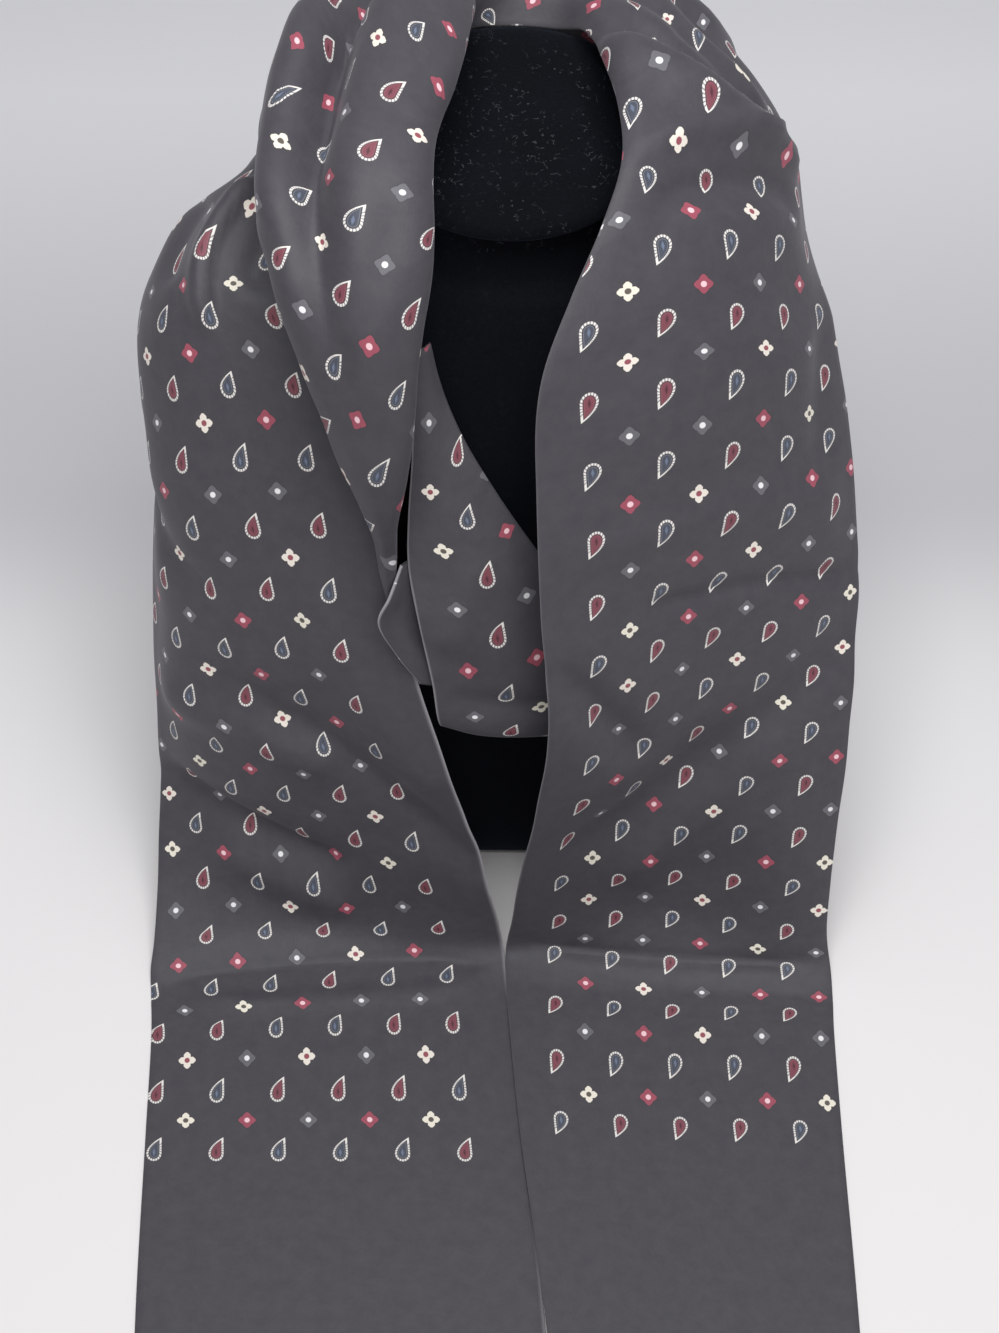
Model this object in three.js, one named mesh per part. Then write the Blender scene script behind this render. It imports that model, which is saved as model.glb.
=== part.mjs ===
// A long narrow silk scarf, wound once around the neck of a limbless display bust.
// Millimetres, +Z up. The bust stands on Z = 0, centred near the origin, and faces -Y.
// +X is the right-hand side of a person who stands in front of it.
//
// The scarf is a tube of silk pressed flat: one long edge is its seam, the other is a fold.
// It is modelled in stretches, end to end, in the order in which it is wound. Each stretch
// is a thin wall lofted through a short table of sections. A section is five places across
// the cloth: its seam edge, where it turns near the seam, its middle, where it turns near
// the fold, and its folded edge.

import * as THREE from 'three';

// ---------------------------------------------------------------- driving dimensions
const CLOTH = 1.2;            // both layers of the pressed tube, with the air between them
const SEAM_GAP = 0.3;         // space between one stretch and the next
const LIE = CLOTH / 2;        // height of the cloth's middle where it lies on the table
const OVER = 2;               // height of the right end's middle where it lies on the left end
const TUCK = 0.9;             // extra height at the seam edge there
const BUST_SIDES = 56;        // facets around the bust
const CAP_RIM = 6;            // thickness of the neck cap's rounded rim
const NECK_TILT = THREE.MathUtils.degToRad(13);   // the neck is cut sloping to the front

// ---------------------------------------------------------------- materials
const finish = (color, roughness) =>
  new THREE.MeshStandardMaterial({ color, roughness, metalness: 0 });
const SILK = finish(0x4b494d, 0.62);
const SILK_SHADED = finish(0x424045, 0.62);
const VELVET = finish(0x0a0b10, 0.95);

const group = new THREE.Group();
function add(name, geometry, material) {
  const mesh = new THREE.Mesh(geometry, material);
  mesh.name = name;
  group.add(mesh);
  return mesh;
}

// ---------------------------------------------------------------- mesh helpers
/** A closed mesh from points and triangles, turned so that its faces point outwards. */
function closedGeometry(points, triangles) {
  let volume = 0;
  const cross = new THREE.Vector3();
  for (const [a, b, c] of triangles) {
    volume += points[a].dot(cross.crossVectors(points[b], points[c]));
  }
  const index = volume < 0 ? triangles.flatMap(([a, b, c]) => [a, c, b]) : triangles.flat();
  const geometry = new THREE.BufferGeometry();
  geometry.setAttribute('position',
    new THREE.Float32BufferAttribute(points.flatMap((p) => [p.x, p.y, p.z]), 3));
  geometry.setIndex(index);
  geometry.computeVertexNormals();
  return geometry;
}

/** The two triangles between four corners given in order. */
const quad = (a, b, c, d) => [[a, b, c], [a, c, d]];

/** A wall of one thickness, with the sections' points along its middle. */
function wallGeometry(sections, thickness) {
  const rows = sections.length;
  const columns = sections[0].points.length;
  const points = [];
  for (const side of [0.5, -0.5]) {
    for (const { points: middle, normals } of sections) {
      middle.forEach((p, j) => {
        points.push(p.clone().addScaledVector(normals[j], side * thickness));
      });
    }
  }
  const front = (i, j) => i * columns + j;
  const back = (i, j) => rows * columns + front(i, j);
  const triangles = [];
  for (let i = 0; i + 1 < rows; i++) {
    for (let j = 0; j + 1 < columns; j++) {
      triangles.push(...quad(front(i, j), front(i, j + 1), front(i + 1, j + 1), front(i + 1, j)));
      triangles.push(...quad(back(i, j), back(i + 1, j), back(i + 1, j + 1), back(i, j + 1)));
    }
    const last = columns - 1;
    triangles.push(...quad(front(i, 0), front(i + 1, 0), back(i + 1, 0), back(i, 0)));
    triangles.push(...quad(front(i, last), back(i, last), back(i + 1, last), front(i + 1, last)));
  }
  for (let j = 0; j + 1 < columns; j++) {
    const last = rows - 1;
    triangles.push(...quad(front(0, j), back(0, j), back(0, j + 1), front(0, j + 1)));
    triangles.push(...quad(front(last, j), front(last, j + 1), back(last, j + 1), back(last, j)));
  }
  return closedGeometry(points, triangles);
}

// ---------------------------------------------------------------- the bust
// Oval rings, from the base up: half width, reach to the front and to the back, and how
// square the oval is (2 is an ellipse). "tilt" is the share of the neck's slope it has.
const BUST_RINGS = [
  { z: 0, half: 70, front: 61, back: 50, square: 2.6, tilt: 0 },
  { z: 5, half: 73, front: 64, back: 53, square: 2.6, tilt: 0 },
  { z: 40, half: 77, front: 66, back: 56, square: 2.6, tilt: 0 },
  { z: 90, half: 84, front: 68, back: 58, square: 2.6, tilt: 0 },
  { z: 140, half: 91, front: 69, back: 63, square: 2.5, tilt: 0 },
  { z: 180, half: 97, front: 66, back: 66, square: 2.4, tilt: 0 },
  { z: 208, half: 100, front: 59, back: 66, square: 2.3, tilt: 0 },
  { z: 228, half: 98, front: 51, back: 63, square: 2.2, tilt: 0 },
  { z: 241, half: 91, front: 44, back: 60, square: 2.1, tilt: 0 },
  { z: 250, half: 80, front: 39, back: 56, square: 2, tilt: 0.1 },
  { z: 256, half: 67, front: 36, back: 53, square: 2, tilt: 0.3 },
  { z: 261.1, half: 55, front: 33, back: 51, square: 2, tilt: 0.6 },
  { z: 267.4, half: 46, front: 30, back: 50, square: 2, tilt: 0.9 },
  { z: 275.6, half: 43, front: 28, back: 50, square: 2, tilt: 1 },
  { z: 283.6, half: 43, front: 28, back: 51.5, square: 2, tilt: 1 },
];

/** One oval ring of the bust, sloped to the front by its share of the neck's tilt. */
function ovalRing({ z, half, front, back, square, tilt }) {
  const centre = (back - front) / 2;
  const depth = (back + front) / 2;
  const round = (v) => Math.sign(v) * Math.abs(v) ** (2 / square);
  return Array.from({ length: BUST_SIDES }, (_, k) => {
    const angle = (2 * Math.PI * k) / BUST_SIDES;
    const x = half * round(Math.cos(angle));
    const y = centre + depth * round(Math.sin(angle));
    return new THREE.Vector3(x, y, z + (y - centre) * Math.tan(NECK_TILT * tilt));
  });
}

/** A closed solid skinned over rings of equal size, with a flat fan at each end. */
function ringSolid(rings) {
  const sides = rings[0].length;
  const points = rings.flat();
  const triangles = [];
  for (let r = 0; r + 1 < rings.length; r++) {
    for (let k = 0; k < sides; k++) {
      const next = (k + 1) % sides;
      triangles.push(...quad(r * sides + k, r * sides + next,
        (r + 1) * sides + next, (r + 1) * sides + k));
    }
  }
  for (const [r, turn] of [[0, true], [rings.length - 1, false]]) {
    const middle = points.length;
    points.push(rings[r].reduce((s, p) => s.add(p), new THREE.Vector3()).divideScalar(sides));
    for (let k = 0; k < sides; k++) {
      const pair = [r * sides + k, r * sides + ((k + 1) % sides)];
      triangles.push([middle, ...(turn ? pair.reverse() : pair)]);
    }
  }
  return closedGeometry(points, triangles);
}

add('bust_torso', ringSolid(BUST_RINGS.map(ovalRing)), VELVET);

// The neck cap is a disc with a rounded rim, 0.3 mm above the sloping top of the neck.
const NECK_TOP = BUST_RINGS.at(-1);
const CAP_PROFILE = [
  { inset: 3.2, up: 0 }, { inset: 0.8, up: 1 }, { inset: 0, up: 3 },
  { inset: 0.8, up: 5 }, { inset: 3.2, up: CAP_RIM },
];
const CAP_OVERHANG = 4.5;
add('bust_neck_cap', ringSolid(CAP_PROFILE.map(({ inset, up }) => ovalRing({
  ...NECK_TOP,
  z: NECK_TOP.z + SEAM_GAP + up,
  half: NECK_TOP.half + CAP_OVERHANG - inset,
  front: NECK_TOP.front + CAP_OVERHANG - inset,
  back: NECK_TOP.back + CAP_OVERHANG - inset,
}))), VELVET);

// ---------------------------------------------------------------- the scarf
const STATIONS = ['seam', 'inner', 'mid', 'outer', 'fold'];

// One row for each section, with up to two soft grooves pressed into it: "depth" mm deep,
// at the share "at" of the way from the seam edge to the fold, "spread" mm to each side.
const NO_GROOVE = { at: 0.5, depth: 0, spread: 8 };
const section = (seam, inner, mid, outer, fold, grooves = []) =>
  ({ seam, inner, mid, outer, fold, grooves: [...grooves, NO_GROOVE, NO_GROOVE].slice(0, 2) });
const groove = (at, depth, spread) => ({ at, depth, spread });

// From the left end on the table, up the front, over the left shoulder, behind the neck,
// down the right side of the front, and up again beside the neck as the loop's front.
const FIRST_HALF = {
  end_left: [
    section([14, -318, LIE], [-15, -318, LIE], [-52, -318, LIE], [-94, -318, LIE], [-121, -318, LIE]),
    section([10, -250, LIE], [-22, -250, LIE], [-58, -250, LIE], [-98, -250, LIE], [-127, -250, LIE]),
    section([5, -190, LIE], [-26, -190, LIE], [-62, -190, LIE], [-102, -190, LIE], [-131, -190, LIE]),
    section([0, -140, LIE], [-30, -141, LIE], [-67, -142, LIE], [-105, -144, LIE], [-134, -146, LIE]),
    section([-2, -121, 1.6], [-32, -123, LIE], [-69, -125, LIE], [-107, -128, LIE], [-136, -130, LIE]),
  ],
  hang_left: [
    section([-3, -112, 5], [-33, -112, 4], [-69, -114, 3], [-107, -117, 3], [-137, -120, 3]),
    section([-5, -109, 18], [-36, -107, 14], [-71, -104, 9], [-107, -105, 9], [-136, -110, 9]),
    section([-13, -106, 58], [-46, -99, 55], [-79, -93, 50], [-110, -84, 45], [-134, -77, 39]),
    section([-24, -101, 106], [-58, -92, 101], [-90, -87, 95], [-117, -77, 89], [-131, -62, 83]),
    section([-36, -89, 151], [-69, -84, 147], [-100, -78, 140], [-120, -66, 134], [-129, -48, 128]),
    section([-43, -74, 193], [-75, -70, 191], [-106, -64, 184], [-121, -50, 176], [-124.5, -33, 171]),
    section([-48, -54, 232], [-79, -52, 234], [-107, -46, 227], [-122, -34, 217], [-126, -20, 207]),
    section([-53, -40, 250], [-82, -39, 254], [-107, -34, 249], [-122, -20, 236], [-126, -3, 225]),
  ],
  shoulder_left: [
    section([-56, -28, 258], [-82, -27, 264], [-104, -22, 260], [-118, -8, 246.5], [-122, 8, 234]),
    section([-55, -8, 265], [-76, -6, 272], [-94, -2, 270], [-108, 9, 257], [-112, 24, 242]),
    section([-54, 12, 267], [-68, 15, 274], [-83, 19, 270], [-94, 30, 255], [-98, 43, 239]),
    section([-49, 28, 266], [-60, 34, 274], [-72, 43, 272], [-82, 51, 254], [-83, 59, 235]),
  ],
  neck_back_inner: [
    section([-38, 41, 268], [-44, 47, 275], [-52, 55, 267], [-57, 62, 249], [-58, 68, 230]),
    section([-20, 50, 272], [-22, 57, 279], [-25, 65, 269], [-27, 72, 249], [-27, 76, 228]),
    section([3, 52.5, 273], [4, 59, 280], [5, 67, 270], [6, 74, 249], [6, 78, 228]),
    section([25, 47, 271], [29, 53, 278], [34, 61, 269], [38, 67, 250], [40, 72, 231]),
    section([43.4, 33, 268.6], [49, 37.5, 276], [57, 43, 269], [63, 50, 254], [65, 56, 238]),
  ],
  loop_right: [
    section([51, 18, 268], [57, 20, 276], [68, 23, 271], [76, 30, 259], [79, 38, 246]),
    section([53, -8, 265], [60, -8, 272], [72, -6, 269], [83, 0, 258], [89, 9, 247]),
    section([47, -34, 256], [56, -35, 261], [71, -34, 258], [85, -28, 248], [94, -17, 240]),
    section([37, -56, 238], [48, -58, 240], [65, -57, 234], [83, -50, 224], [96, -37, 217]),
    section([26, -72, 212], [39, -72, 209], [59, -69, 200], [80, -60, 190], [96, -48, 184]),
    section([13, -79, 180], [29, -79, 174], [51, -76, 164], [74, -67, 155], [93, -55, 150]),
  ],
  loop_front: [
    section([-3, -84, 149], [15, -84, 143], [38, -82, 134], [61, -76, 128], [82, -67, 124]),
    section([-16, -88, 126], [0, -88, 122], [20, -86, 117], [41, -82, 115], [60, -76, 114]),
    section([-21, -93, 119.5], [-9, -91.5, 114.5], [11, -90, 111], [32, -87, 110], [51, -82, 110]),
    section([-24, -98, 121], [-11, -97.5, 115], [8, -96, 112], [30, -92, 111], [49, -87, 111]),
    section([-26.5, -97, 141], [-14, -96.5, 135], [4, -95, 130], [24, -91, 128], [42, -86, 128]),
    section([-31, -91.5, 169], [-20, -92, 165], [-5, -91, 162], [10, -88, 162], [23, -84, 163]),
    section([-33.5, -85.5, 186], [-25, -86.5, 185], [-14, -86, 186], [-4, -83.5, 189], [4, -79, 193]),
    section([-33, -79, 202], [-27, -80, 202], [-20, -80, 203], [-13, -78, 205], [-6, -74, 208]),
    section([-31.5, -72, 220], [-28, -72.5, 220], [-24, -72, 221], [-20, -70.5, 223], [-16, -68, 225]),
    section([-30.5, -63, 240], [-29, -63, 240], [-27, -62.5, 240.5], [-25, -61.5, 241], [-23, -60, 241]),
  ],
};

// The loop's left side from its foot up to the neck, outside the first turn behind the
// neck, over the right shoulder, down the front and along the table to the right end.
const SECOND_HALF = {
  loop_left: [
    section([-41, -86, 171], [-41.8, -87, 170.7], [-42.6, -87.3, 170.5], [-43.4, -87, 170.7],
      [-44, -86.2, 171]),
    section([-39, -82, 191], [-39.4, -88, 190], [-41.2, -90, 190], [-43.2, -87, 190.5], [-44, -81, 192]),
    section([-37, -80, 215], [-36.8, -91, 213], [-41.5, -94, 212], [-47, -89, 213], [-48.5, -77, 217]),
    section([-35, -76, 241], [-33.5, -90, 238], [-44, -95, 236], [-55, -87, 239], [-58, -70, 244]),
    section([-31, -69, 266], [-27, -86, 263], [-45, -93, 263], [-63, -83, 264], [-67, -62, 267],
      [groove(0.52, 2, 9)]),
    section([-29, -56, 288], [-24, -72, 292], [-48, -83, 294], [-72, -72, 290], [-75, -48, 284],
      [groove(0.52, 5, 9)]),
    section([-28, -39, 298], [-22, -50, 310], [-48, -60, 316], [-75, -51, 306], [-79, -30, 289],
      [groove(0.53, 8, 9)]),
    section([-26, -17, 302], [-20, -24, 316], [-46, -30, 325], [-74, -25, 313], [-81, -10, 291],
      [groove(0.54, 12, 9)]),
    section([-24, 8, 304], [-15.5, 5, 319], [-41, 5, 331], [-70, 6, 321], [-81, 14, 294],
      [groove(0.55, 14, 9)]),
  ],
  neck_back_outer: [
    section([-21, 32, 305], [-14, 31, 318], [-37, 34, 331], [-63, 37, 320], [-76, 42, 290],
      [groove(0.56, 13, 9)]),
    section([-15, 54.4, 299], [-12, 56, 313], [-27, 66, 321], [-48, 73, 306], [-58, 76, 275],
      [groove(0.52, 9, 9)]),
    section([0, 57.3, 298.5], [1, 65, 308], [-4, 77, 309], [-12, 87, 290], [-17, 91, 261],
      [groove(0.44, 5, 9), groove(0.7, 3, 9)]),
    section([14, 55.4, 298.6], [18, 63, 308], [22, 77, 308], [27, 88, 290], [30, 93, 261],
      [groove(0.34, 4, 9), groove(0.6, 4, 9)]),
  ],
  shoulder_right: [
    section([23, 45, 304], [29, 46, 310], [43, 62, 310], [58, 78, 293], [68, 86, 266],
      [groove(0.28, 4, 8), groove(0.5, 4, 9)]),
    section([29, 21, 309], [33, 20, 312], [54, 34, 310], [75, 49, 292], [88, 61, 267],
      [groove(0.42, 5, 8), groove(0.64, 4, 9)]),
    section([33, -7, 309], [37.5, -5, 311.5], [63, 6, 304], [85, 21, 287], [96, 39, 263],
      [groove(0.64, 3, 9), groove(0.85, 1, 9)]),
  ],
  hang_right: [
    section([33.5, -31, 304.5], [38.5, -28.5, 306], [64, -15, 295], [87, 0, 279], [97, 18, 257]),
    section([27.5, -49, 294], [33.5, -47, 294.5], [65, -33, 284], [90, -15, 264], [100, 3, 246]),
    section([18, -65, 278], [31, -61, 278], [66, -48, 269], [93, -25, 248], [105.5, -9, 234]),
    section([9, -80, 258], [29, -73, 258], [67, -59, 252], [98, -36, 232], [110, -20, 221]),
    section([8, -93, 224], [30, -86, 224], [68, -71, 218], [102, -48, 203], [115.5, -33, 194]),
    section([10, -107, 182], [31, -99, 181], [69, -82, 174], [107, -64, 162], [121, -53, 156]),
    section([13, -116, 137], [34, -107, 136], [68, -89, 130], [107, -79, 122], [122.5, -72, 118]),
    section([9, -116, 92], [31, -108, 90], [65, -94, 84], [105, -92, 80], [121.5, -88, 77]),
    section([3, -114, 45], [24, -107, 44], [62, -101, 38], [103, -105, 37], [120, -104, 36]),
    section([1, -112, 22], [22, -110, 20], [62, -107, 17], [103, -112, 16], [120, -113, 16]),
    section([-1, -113, 5.9], [20, -115, 5], [61, -118, 4], [104, -121, 4], [122, -122, 4]),
  ],
  end_right: [
    section([-1, -122, OVER + TUCK], [20, -125, OVER], [61, -129, LIE], [104, -131, LIE],
      [122, -132, LIE]),
    section([0, -141, OVER + TUCK], [20, -142, OVER], [61, -143, LIE], [104, -144, LIE],
      [121, -145, LIE]),
    section([4, -190, OVER + TUCK], [23, -190, OVER], [61, -190, LIE], [102, -190, LIE],
      [119, -190, LIE]),
    section([11, -250, OVER + TUCK], [28, -250, OVER], [63, -250, LIE], [101, -250, LIE],
      [117, -250, LIE]),
    section([17, -318, OVER + TUCK], [32, -318, OVER], [64, -318, LIE], [99, -318, LIE],
      [114, -318, LIE]),
  ],
};

// The loop's seam edge curls forward at its foot, in front of the loop's left side.
const FLAP = {
  loop_flap: [
    section([-34.9, -83.2, 187], [-34.6, -83.2, 186.7], [-34.4, -83.2, 186.4], [-34.2, -83.1, 186.1],
      [-34, -83, 185.8]),
    section([-40, -89, 177], [-38, -88, 176], [-36, -87, 175], [-34, -86, 174], [-31, -85, 173]),
    section([-44, -92, 166], [-39, -91, 164], [-34, -90, 162], [-29, -88.6, 159], [-24, -87.5, 156]),
    section([-38.5, -93.5, 151], [-35, -93.2, 149], [-31, -92.5, 147], [-26, -91.5, 145], [-21, -90.5, 143]),
    section([-31, -94.5, 138], [-28.5, -94.4, 137], [-26, -94.2, 136], [-23, -93.6, 135.5],
      [-20, -93, 135]),
  ],
};

const ACROSS = 8;             // facets across a flat stretch
const ACROSS_FOLDED = 22;     // facets across a stretch with grooves pressed into it
const STEP = { table: 30, hang: 14, turn: 11 };
const STEP_OF = { end_left: STEP.table, end_right: STEP.table, hang_left: STEP.hang,
  hang_right: STEP.hang, loop_right: STEP.hang };
const NEAR = 0.04;            // part of a row's spacing over which a direction is measured
const INWARD = -1;            // grooves are pressed against the way the sections face

/** A smooth run of cloth through a list of sections, by a place counted in rows. */
class Run {
  constructor(rows) {
    this.rows = rows;
    this.last = rows.length - 1;
    this.curves = STATIONS.map((name) => new THREE.CatmullRomCurve3(
      rows.map((row) => new THREE.Vector3(...row[name])), false, 'centripetal'));
  }

  /** The two grooves at a place, between those of the rows around it. */
  grooves(place) {
    const k = Math.min(Math.floor(place), this.last - 1);
    const mix = (a, b) => THREE.MathUtils.lerp(a, b, place - k);
    return this.rows[k].grooves.map((low, n) => {
      const high = this.rows[k + 1].grooves[n];
      return {
        at: low.depth && high.depth ? mix(low.at, high.at) : (low.depth ? low : high).at,
        depth: mix(low.depth, high.depth),
        spread: mix(low.spread, high.spread),
      };
    });
  }

  /** The five stations of the section at a place. */
  stations(place) {
    const share = THREE.MathUtils.clamp(place / this.last, 0, 1);
    return this.curves.map((curve) => curve.getPoint(share));
  }

  /** Evenly spaced points across the section at a place, before any groove. */
  smooth(place, across) {
    const row = new THREE.CatmullRomCurve3(this.stations(place), false, 'centripetal')
      .getSpacedPoints(across);
    for (const p of row) p.z = Math.max(p.z, LIE);
    return row;
  }

  /** The points across the section at a place, with its groove pressed in. */
  points(place, across) {
    const row = this.smooth(place, across);
    const grooves = this.grooves(place).filter(({ depth }) => depth > 0);
    if (grooves.length === 0) return row;
    const normals = this.facing(row, this.direction((p) => this.smooth(p, across), place));
    const width = row.reduce((s, p, j) => s + (j ? p.distanceTo(row[j - 1]) : 0), 0);
    return row.map((p, j) => {
      const pressed = grooves.reduce((sum, { at, depth, spread }) =>
        sum + depth * Math.exp(-((((j / across - at) * width) / spread) ** 2)), 0);
      return p.clone().addScaledVector(normals[j], pressed * INWARD);
    });
  }

  /** The way the cloth runs at each point across a section. */
  direction(sample, place) {
    const before = sample(Math.max(place - NEAR, 0));
    const after = sample(Math.min(place + NEAR, this.last));
    return after.map((p, j) => p.clone().sub(before[j]).normalize());
  }

  /** The unit normals of a section from its points and the way the cloth runs. */
  facing(row, along) {
    const end = row.length - 1;
    return row.map((_, j) => along[j].clone()
      .cross(row[Math.min(j + 1, end)].clone().sub(row[Math.max(j - 1, 0)])).normalize());
  }

  /** A section's points and normals, the points moved "shift" mm along the cloth. */
  section(place, across, shift) {
    const row = this.points(place, across);
    const along = this.direction((p) => this.points(p, across), place);
    const normals = this.facing(row, along);
    return { points: row.map((p, j) => p.addScaledVector(along[j], shift)), normals };
  }

  /** The places of the sections between two rows, no further apart than "step" mm. */
  places(from, to, step) {
    const list = [from];
    for (let k = from; k < to; k++) {
      const low = this.stations(k);
      const high = this.stations(k + 1);
      const span = Math.max(...low.map((p, n) => p.distanceTo(high[n])));
      const count = Math.max(1, Math.round(span / step));
      for (let n = 1; n <= count; n++) list.push(k + n / count);
    }
    return list;
  }
}

/** Lofts a chain of stretches, so that each runs on smoothly into the next. */
function loftChain(chain) {
  const run = new Run(Object.values(chain).flat());
  let first = 0;
  for (const [name, table] of Object.entries(chain)) {
    const last = Math.min(first + table.length, run.last);
    const folded = table.some((row) => row.grooves.some(({ depth }) => depth > 0));
    const across = folded ? ACROSS_FOLDED : ACROSS;
    const places = run.places(first, last, STEP_OF[name] ?? STEP.turn);
    const sections = places.map((place, n) => {
      const starts = n === 0 && first > 0;
      const ends = n === places.length - 1 && last < run.last;
      return run.section(place, across, (starts - ends) * 0.5 * SEAM_GAP);
    });
    add(name, wallGeometry(sections, CLOTH), name.startsWith('loop') ? SILK_SHADED : SILK);
    first = last;
  }
}

loftChain(FIRST_HALF);
loftChain(SECOND_HALF);
loftChain(FLAP);

export default group;
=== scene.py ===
"""A printed silk tube scarf, wound once round the neck of a velvet display bust.

The scarf is one long piece of silk, folded lengthways and seamed into a tube that lies
pressed flat. It is drawn in three runs, each a hollow tube of thin silk whose middle surface
is a smooth grid through a short table of sections. The bust is a limbless torso with a
sloping oval neck cap, both covered in near-black velvet.

Tables are in millimetres, in the part's own frame: +Z up, the bust faces -Y, and it stands
on Z = 0. Meshes are in metres.
"""

from __future__ import annotations

import logging
from dataclasses import dataclass, field
from enum import Enum
from math import pi, radians

import bpy
import numpy as np
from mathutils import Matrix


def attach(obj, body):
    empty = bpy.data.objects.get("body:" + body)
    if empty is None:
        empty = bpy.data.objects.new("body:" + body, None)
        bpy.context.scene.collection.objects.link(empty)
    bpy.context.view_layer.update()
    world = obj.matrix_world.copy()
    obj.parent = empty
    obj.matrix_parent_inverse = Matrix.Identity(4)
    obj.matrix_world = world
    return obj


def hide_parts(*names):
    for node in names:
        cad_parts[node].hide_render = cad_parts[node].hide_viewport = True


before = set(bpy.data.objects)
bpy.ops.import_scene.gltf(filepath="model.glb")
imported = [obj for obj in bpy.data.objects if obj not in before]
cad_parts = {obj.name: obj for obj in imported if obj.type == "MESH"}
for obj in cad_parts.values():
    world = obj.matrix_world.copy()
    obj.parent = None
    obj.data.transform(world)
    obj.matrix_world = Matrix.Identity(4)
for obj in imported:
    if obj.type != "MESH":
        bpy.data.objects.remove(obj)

LOG = logging.getLogger("scarf")
MM = 0.001
Span = tuple[float, float]
Point = tuple[float, float, float]
Colour = tuple[float, float, float, float]
Piece = bpy.types.Object
Material = bpy.types.Material
Tree = bpy.types.NodeTree
Socket = bpy.types.NodeSocket

# ---------------------------------------------------------------- the cloth's own sizes
COLUMN_PITCH = 21.9       # print repeat, from one column of paisleys to the next
ROW_PITCH = 23.2          # print repeat along the cloth
FIRST_COLUMN = 20.8       # from the seam edge to the first column of paisleys
COLUMNS = 9               # columns of paisleys round the whole tube
FIRST_ROW, LAST_ROW = -1, 75    # rows of paisleys at the left and at the right end
HALF_TUBE = 0.6           # from the pressed tube's middle to either outer face
HALF_HEM = 0.32           # the same where an end is sewn shut
HEM = 5.0                 # length over which it is pressed down to that
SILK_THICK = 0.28         # one layer of the silk
SEAM_GAP = 0.3            # space between the torso and its neck cap
LIE = 0.6                 # height of the cloth's middle where it lies on the table
OVER = 2.0                # the same where the right end lies on the left end
TUCK = 0.9                # extra height of the seam edge there
HIGHLIGHT_BESIDE_EDGE = 0.55        # painted highlight beside the seam edge, as a share of the one on the edge

# ---------------------------------------------------------------- how the cloth is shaped
EXTRA_ROWS = 2            # of mesh between two sections, so that close ones are finer
FINE = 8                  # fine places across the tube for each one that is kept
GROOVES = 2               # in one section, at the most
CREASE_ENDS = 5           # a crease dies out over one part in five of its length, at each end
SHARP_TOP = 0.5           # mm squared, rounds off the top of a sharp crease
SLOW_WAVES = (            # share of the swell, mm across and mm along to a wave, start angle
    (0.5, 118, 61, 0.4), (0.35, -83, 47, 2.1), (0.25, 51, 35, 4.0),
)
WAVES_FROM, WAVES_RISE = 4, 25    # mm above the table where the waves start, and grow over
LEAST_SPAN, LEAST_LENGTH = 1e-6, 1e-12    # added to lengths, so that no divisor is 0


def linear(colour: str) -> Colour:
    """Turns an sRGB colour to linear light, by the curve of the sRGB standard.

    Args:
        colour: red, green and blue in hex, such as "4B494D".

    Returns:
        Linear red, green and blue, and an alpha of 1.
    """
    values = np.array([int(colour[k:k + 2], 16) for k in (0, 2, 4)]) / 255
    low, high = values / 12.92, ((values + 0.055) / 1.055) ** 2.4
    return (*np.where(values <= 0.04045, low, high).tolist(), 1.0)


def per_metre(size: float) -> float:
    """The scale of a texture whose grains or cells are size mm wide."""
    return 1 / (size * MM)


# ---------------------------------------------------------------- surfaces from tables
def smooth_run(knots: np.ndarray, places: np.ndarray) -> np.ndarray:
    """Points on smooth curves through knots, each a centripetal Catmull-Rom curve.

    From knot 1 to knot 2 the curve is the cubic with those ends. Its slope at knot 1 is
    (p1 - p0)/a - (p2 - p0)/(a + b) + (p2 - p1)/b, and its slope at knot 2 is the same one
    knot further on, both times b. a, b and c are the square roots of the three distances.

    Args:
        knots: an array whose first axis is the knots and last axis the coordinates.
        places: where the points are wanted, counted in knots from 0.

    Returns:
        The points, with places as the first axis in place of the knots.
    """
    line = np.concatenate([2 * knots[:1] - knots[1:2], knots, 2 * knots[-1:] - knots[-2:-1]])
    start = np.clip(places.astype(int), 0, len(knots) - 2)
    t = (places - start).reshape((-1,) + (1,) * (knots.ndim - 1))
    p0, p1, p2, p3 = (line[start + n] for n in range(4))
    a, b, c = (np.sqrt(np.linalg.norm(q - p, axis=-1, keepdims=True)) + LEAST_SPAN
               for p, q in ((p0, p1), (p1, p2), (p2, p3)))
    slope1 = b * ((p1 - p0) / a - (p2 - p0) / (a + b) + (p2 - p1) / b)
    slope2 = b * ((p2 - p1) / b - (p3 - p1) / (b + c) + (p3 - p2) / c)
    bend = -3 * p1 + 3 * p2 - 2 * slope1 - slope2
    twist = 2 * p1 - 2 * p2 + slope1 + slope2
    return p1 + slope1 * t + bend * t ** 2 + twist * t ** 3


def lengths_along(points: np.ndarray, axis: int) -> np.ndarray:
    """Distance travelled over a grid of points: the lengths of the steps, added up.

    Args:
        points: a grid of points, rows by columns by 3.
        axis: 0 to travel along the grid, 1 to travel across it.

    Returns:
        The distance at each point, from 0 at the first one.
    """
    steps = np.linalg.norm(np.diff(points, axis=axis), axis=-1)
    pad = [(0, 0), (0, 0)]
    pad[axis] = (1, 0)
    return np.pad(np.cumsum(steps, axis=axis), pad)


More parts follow.
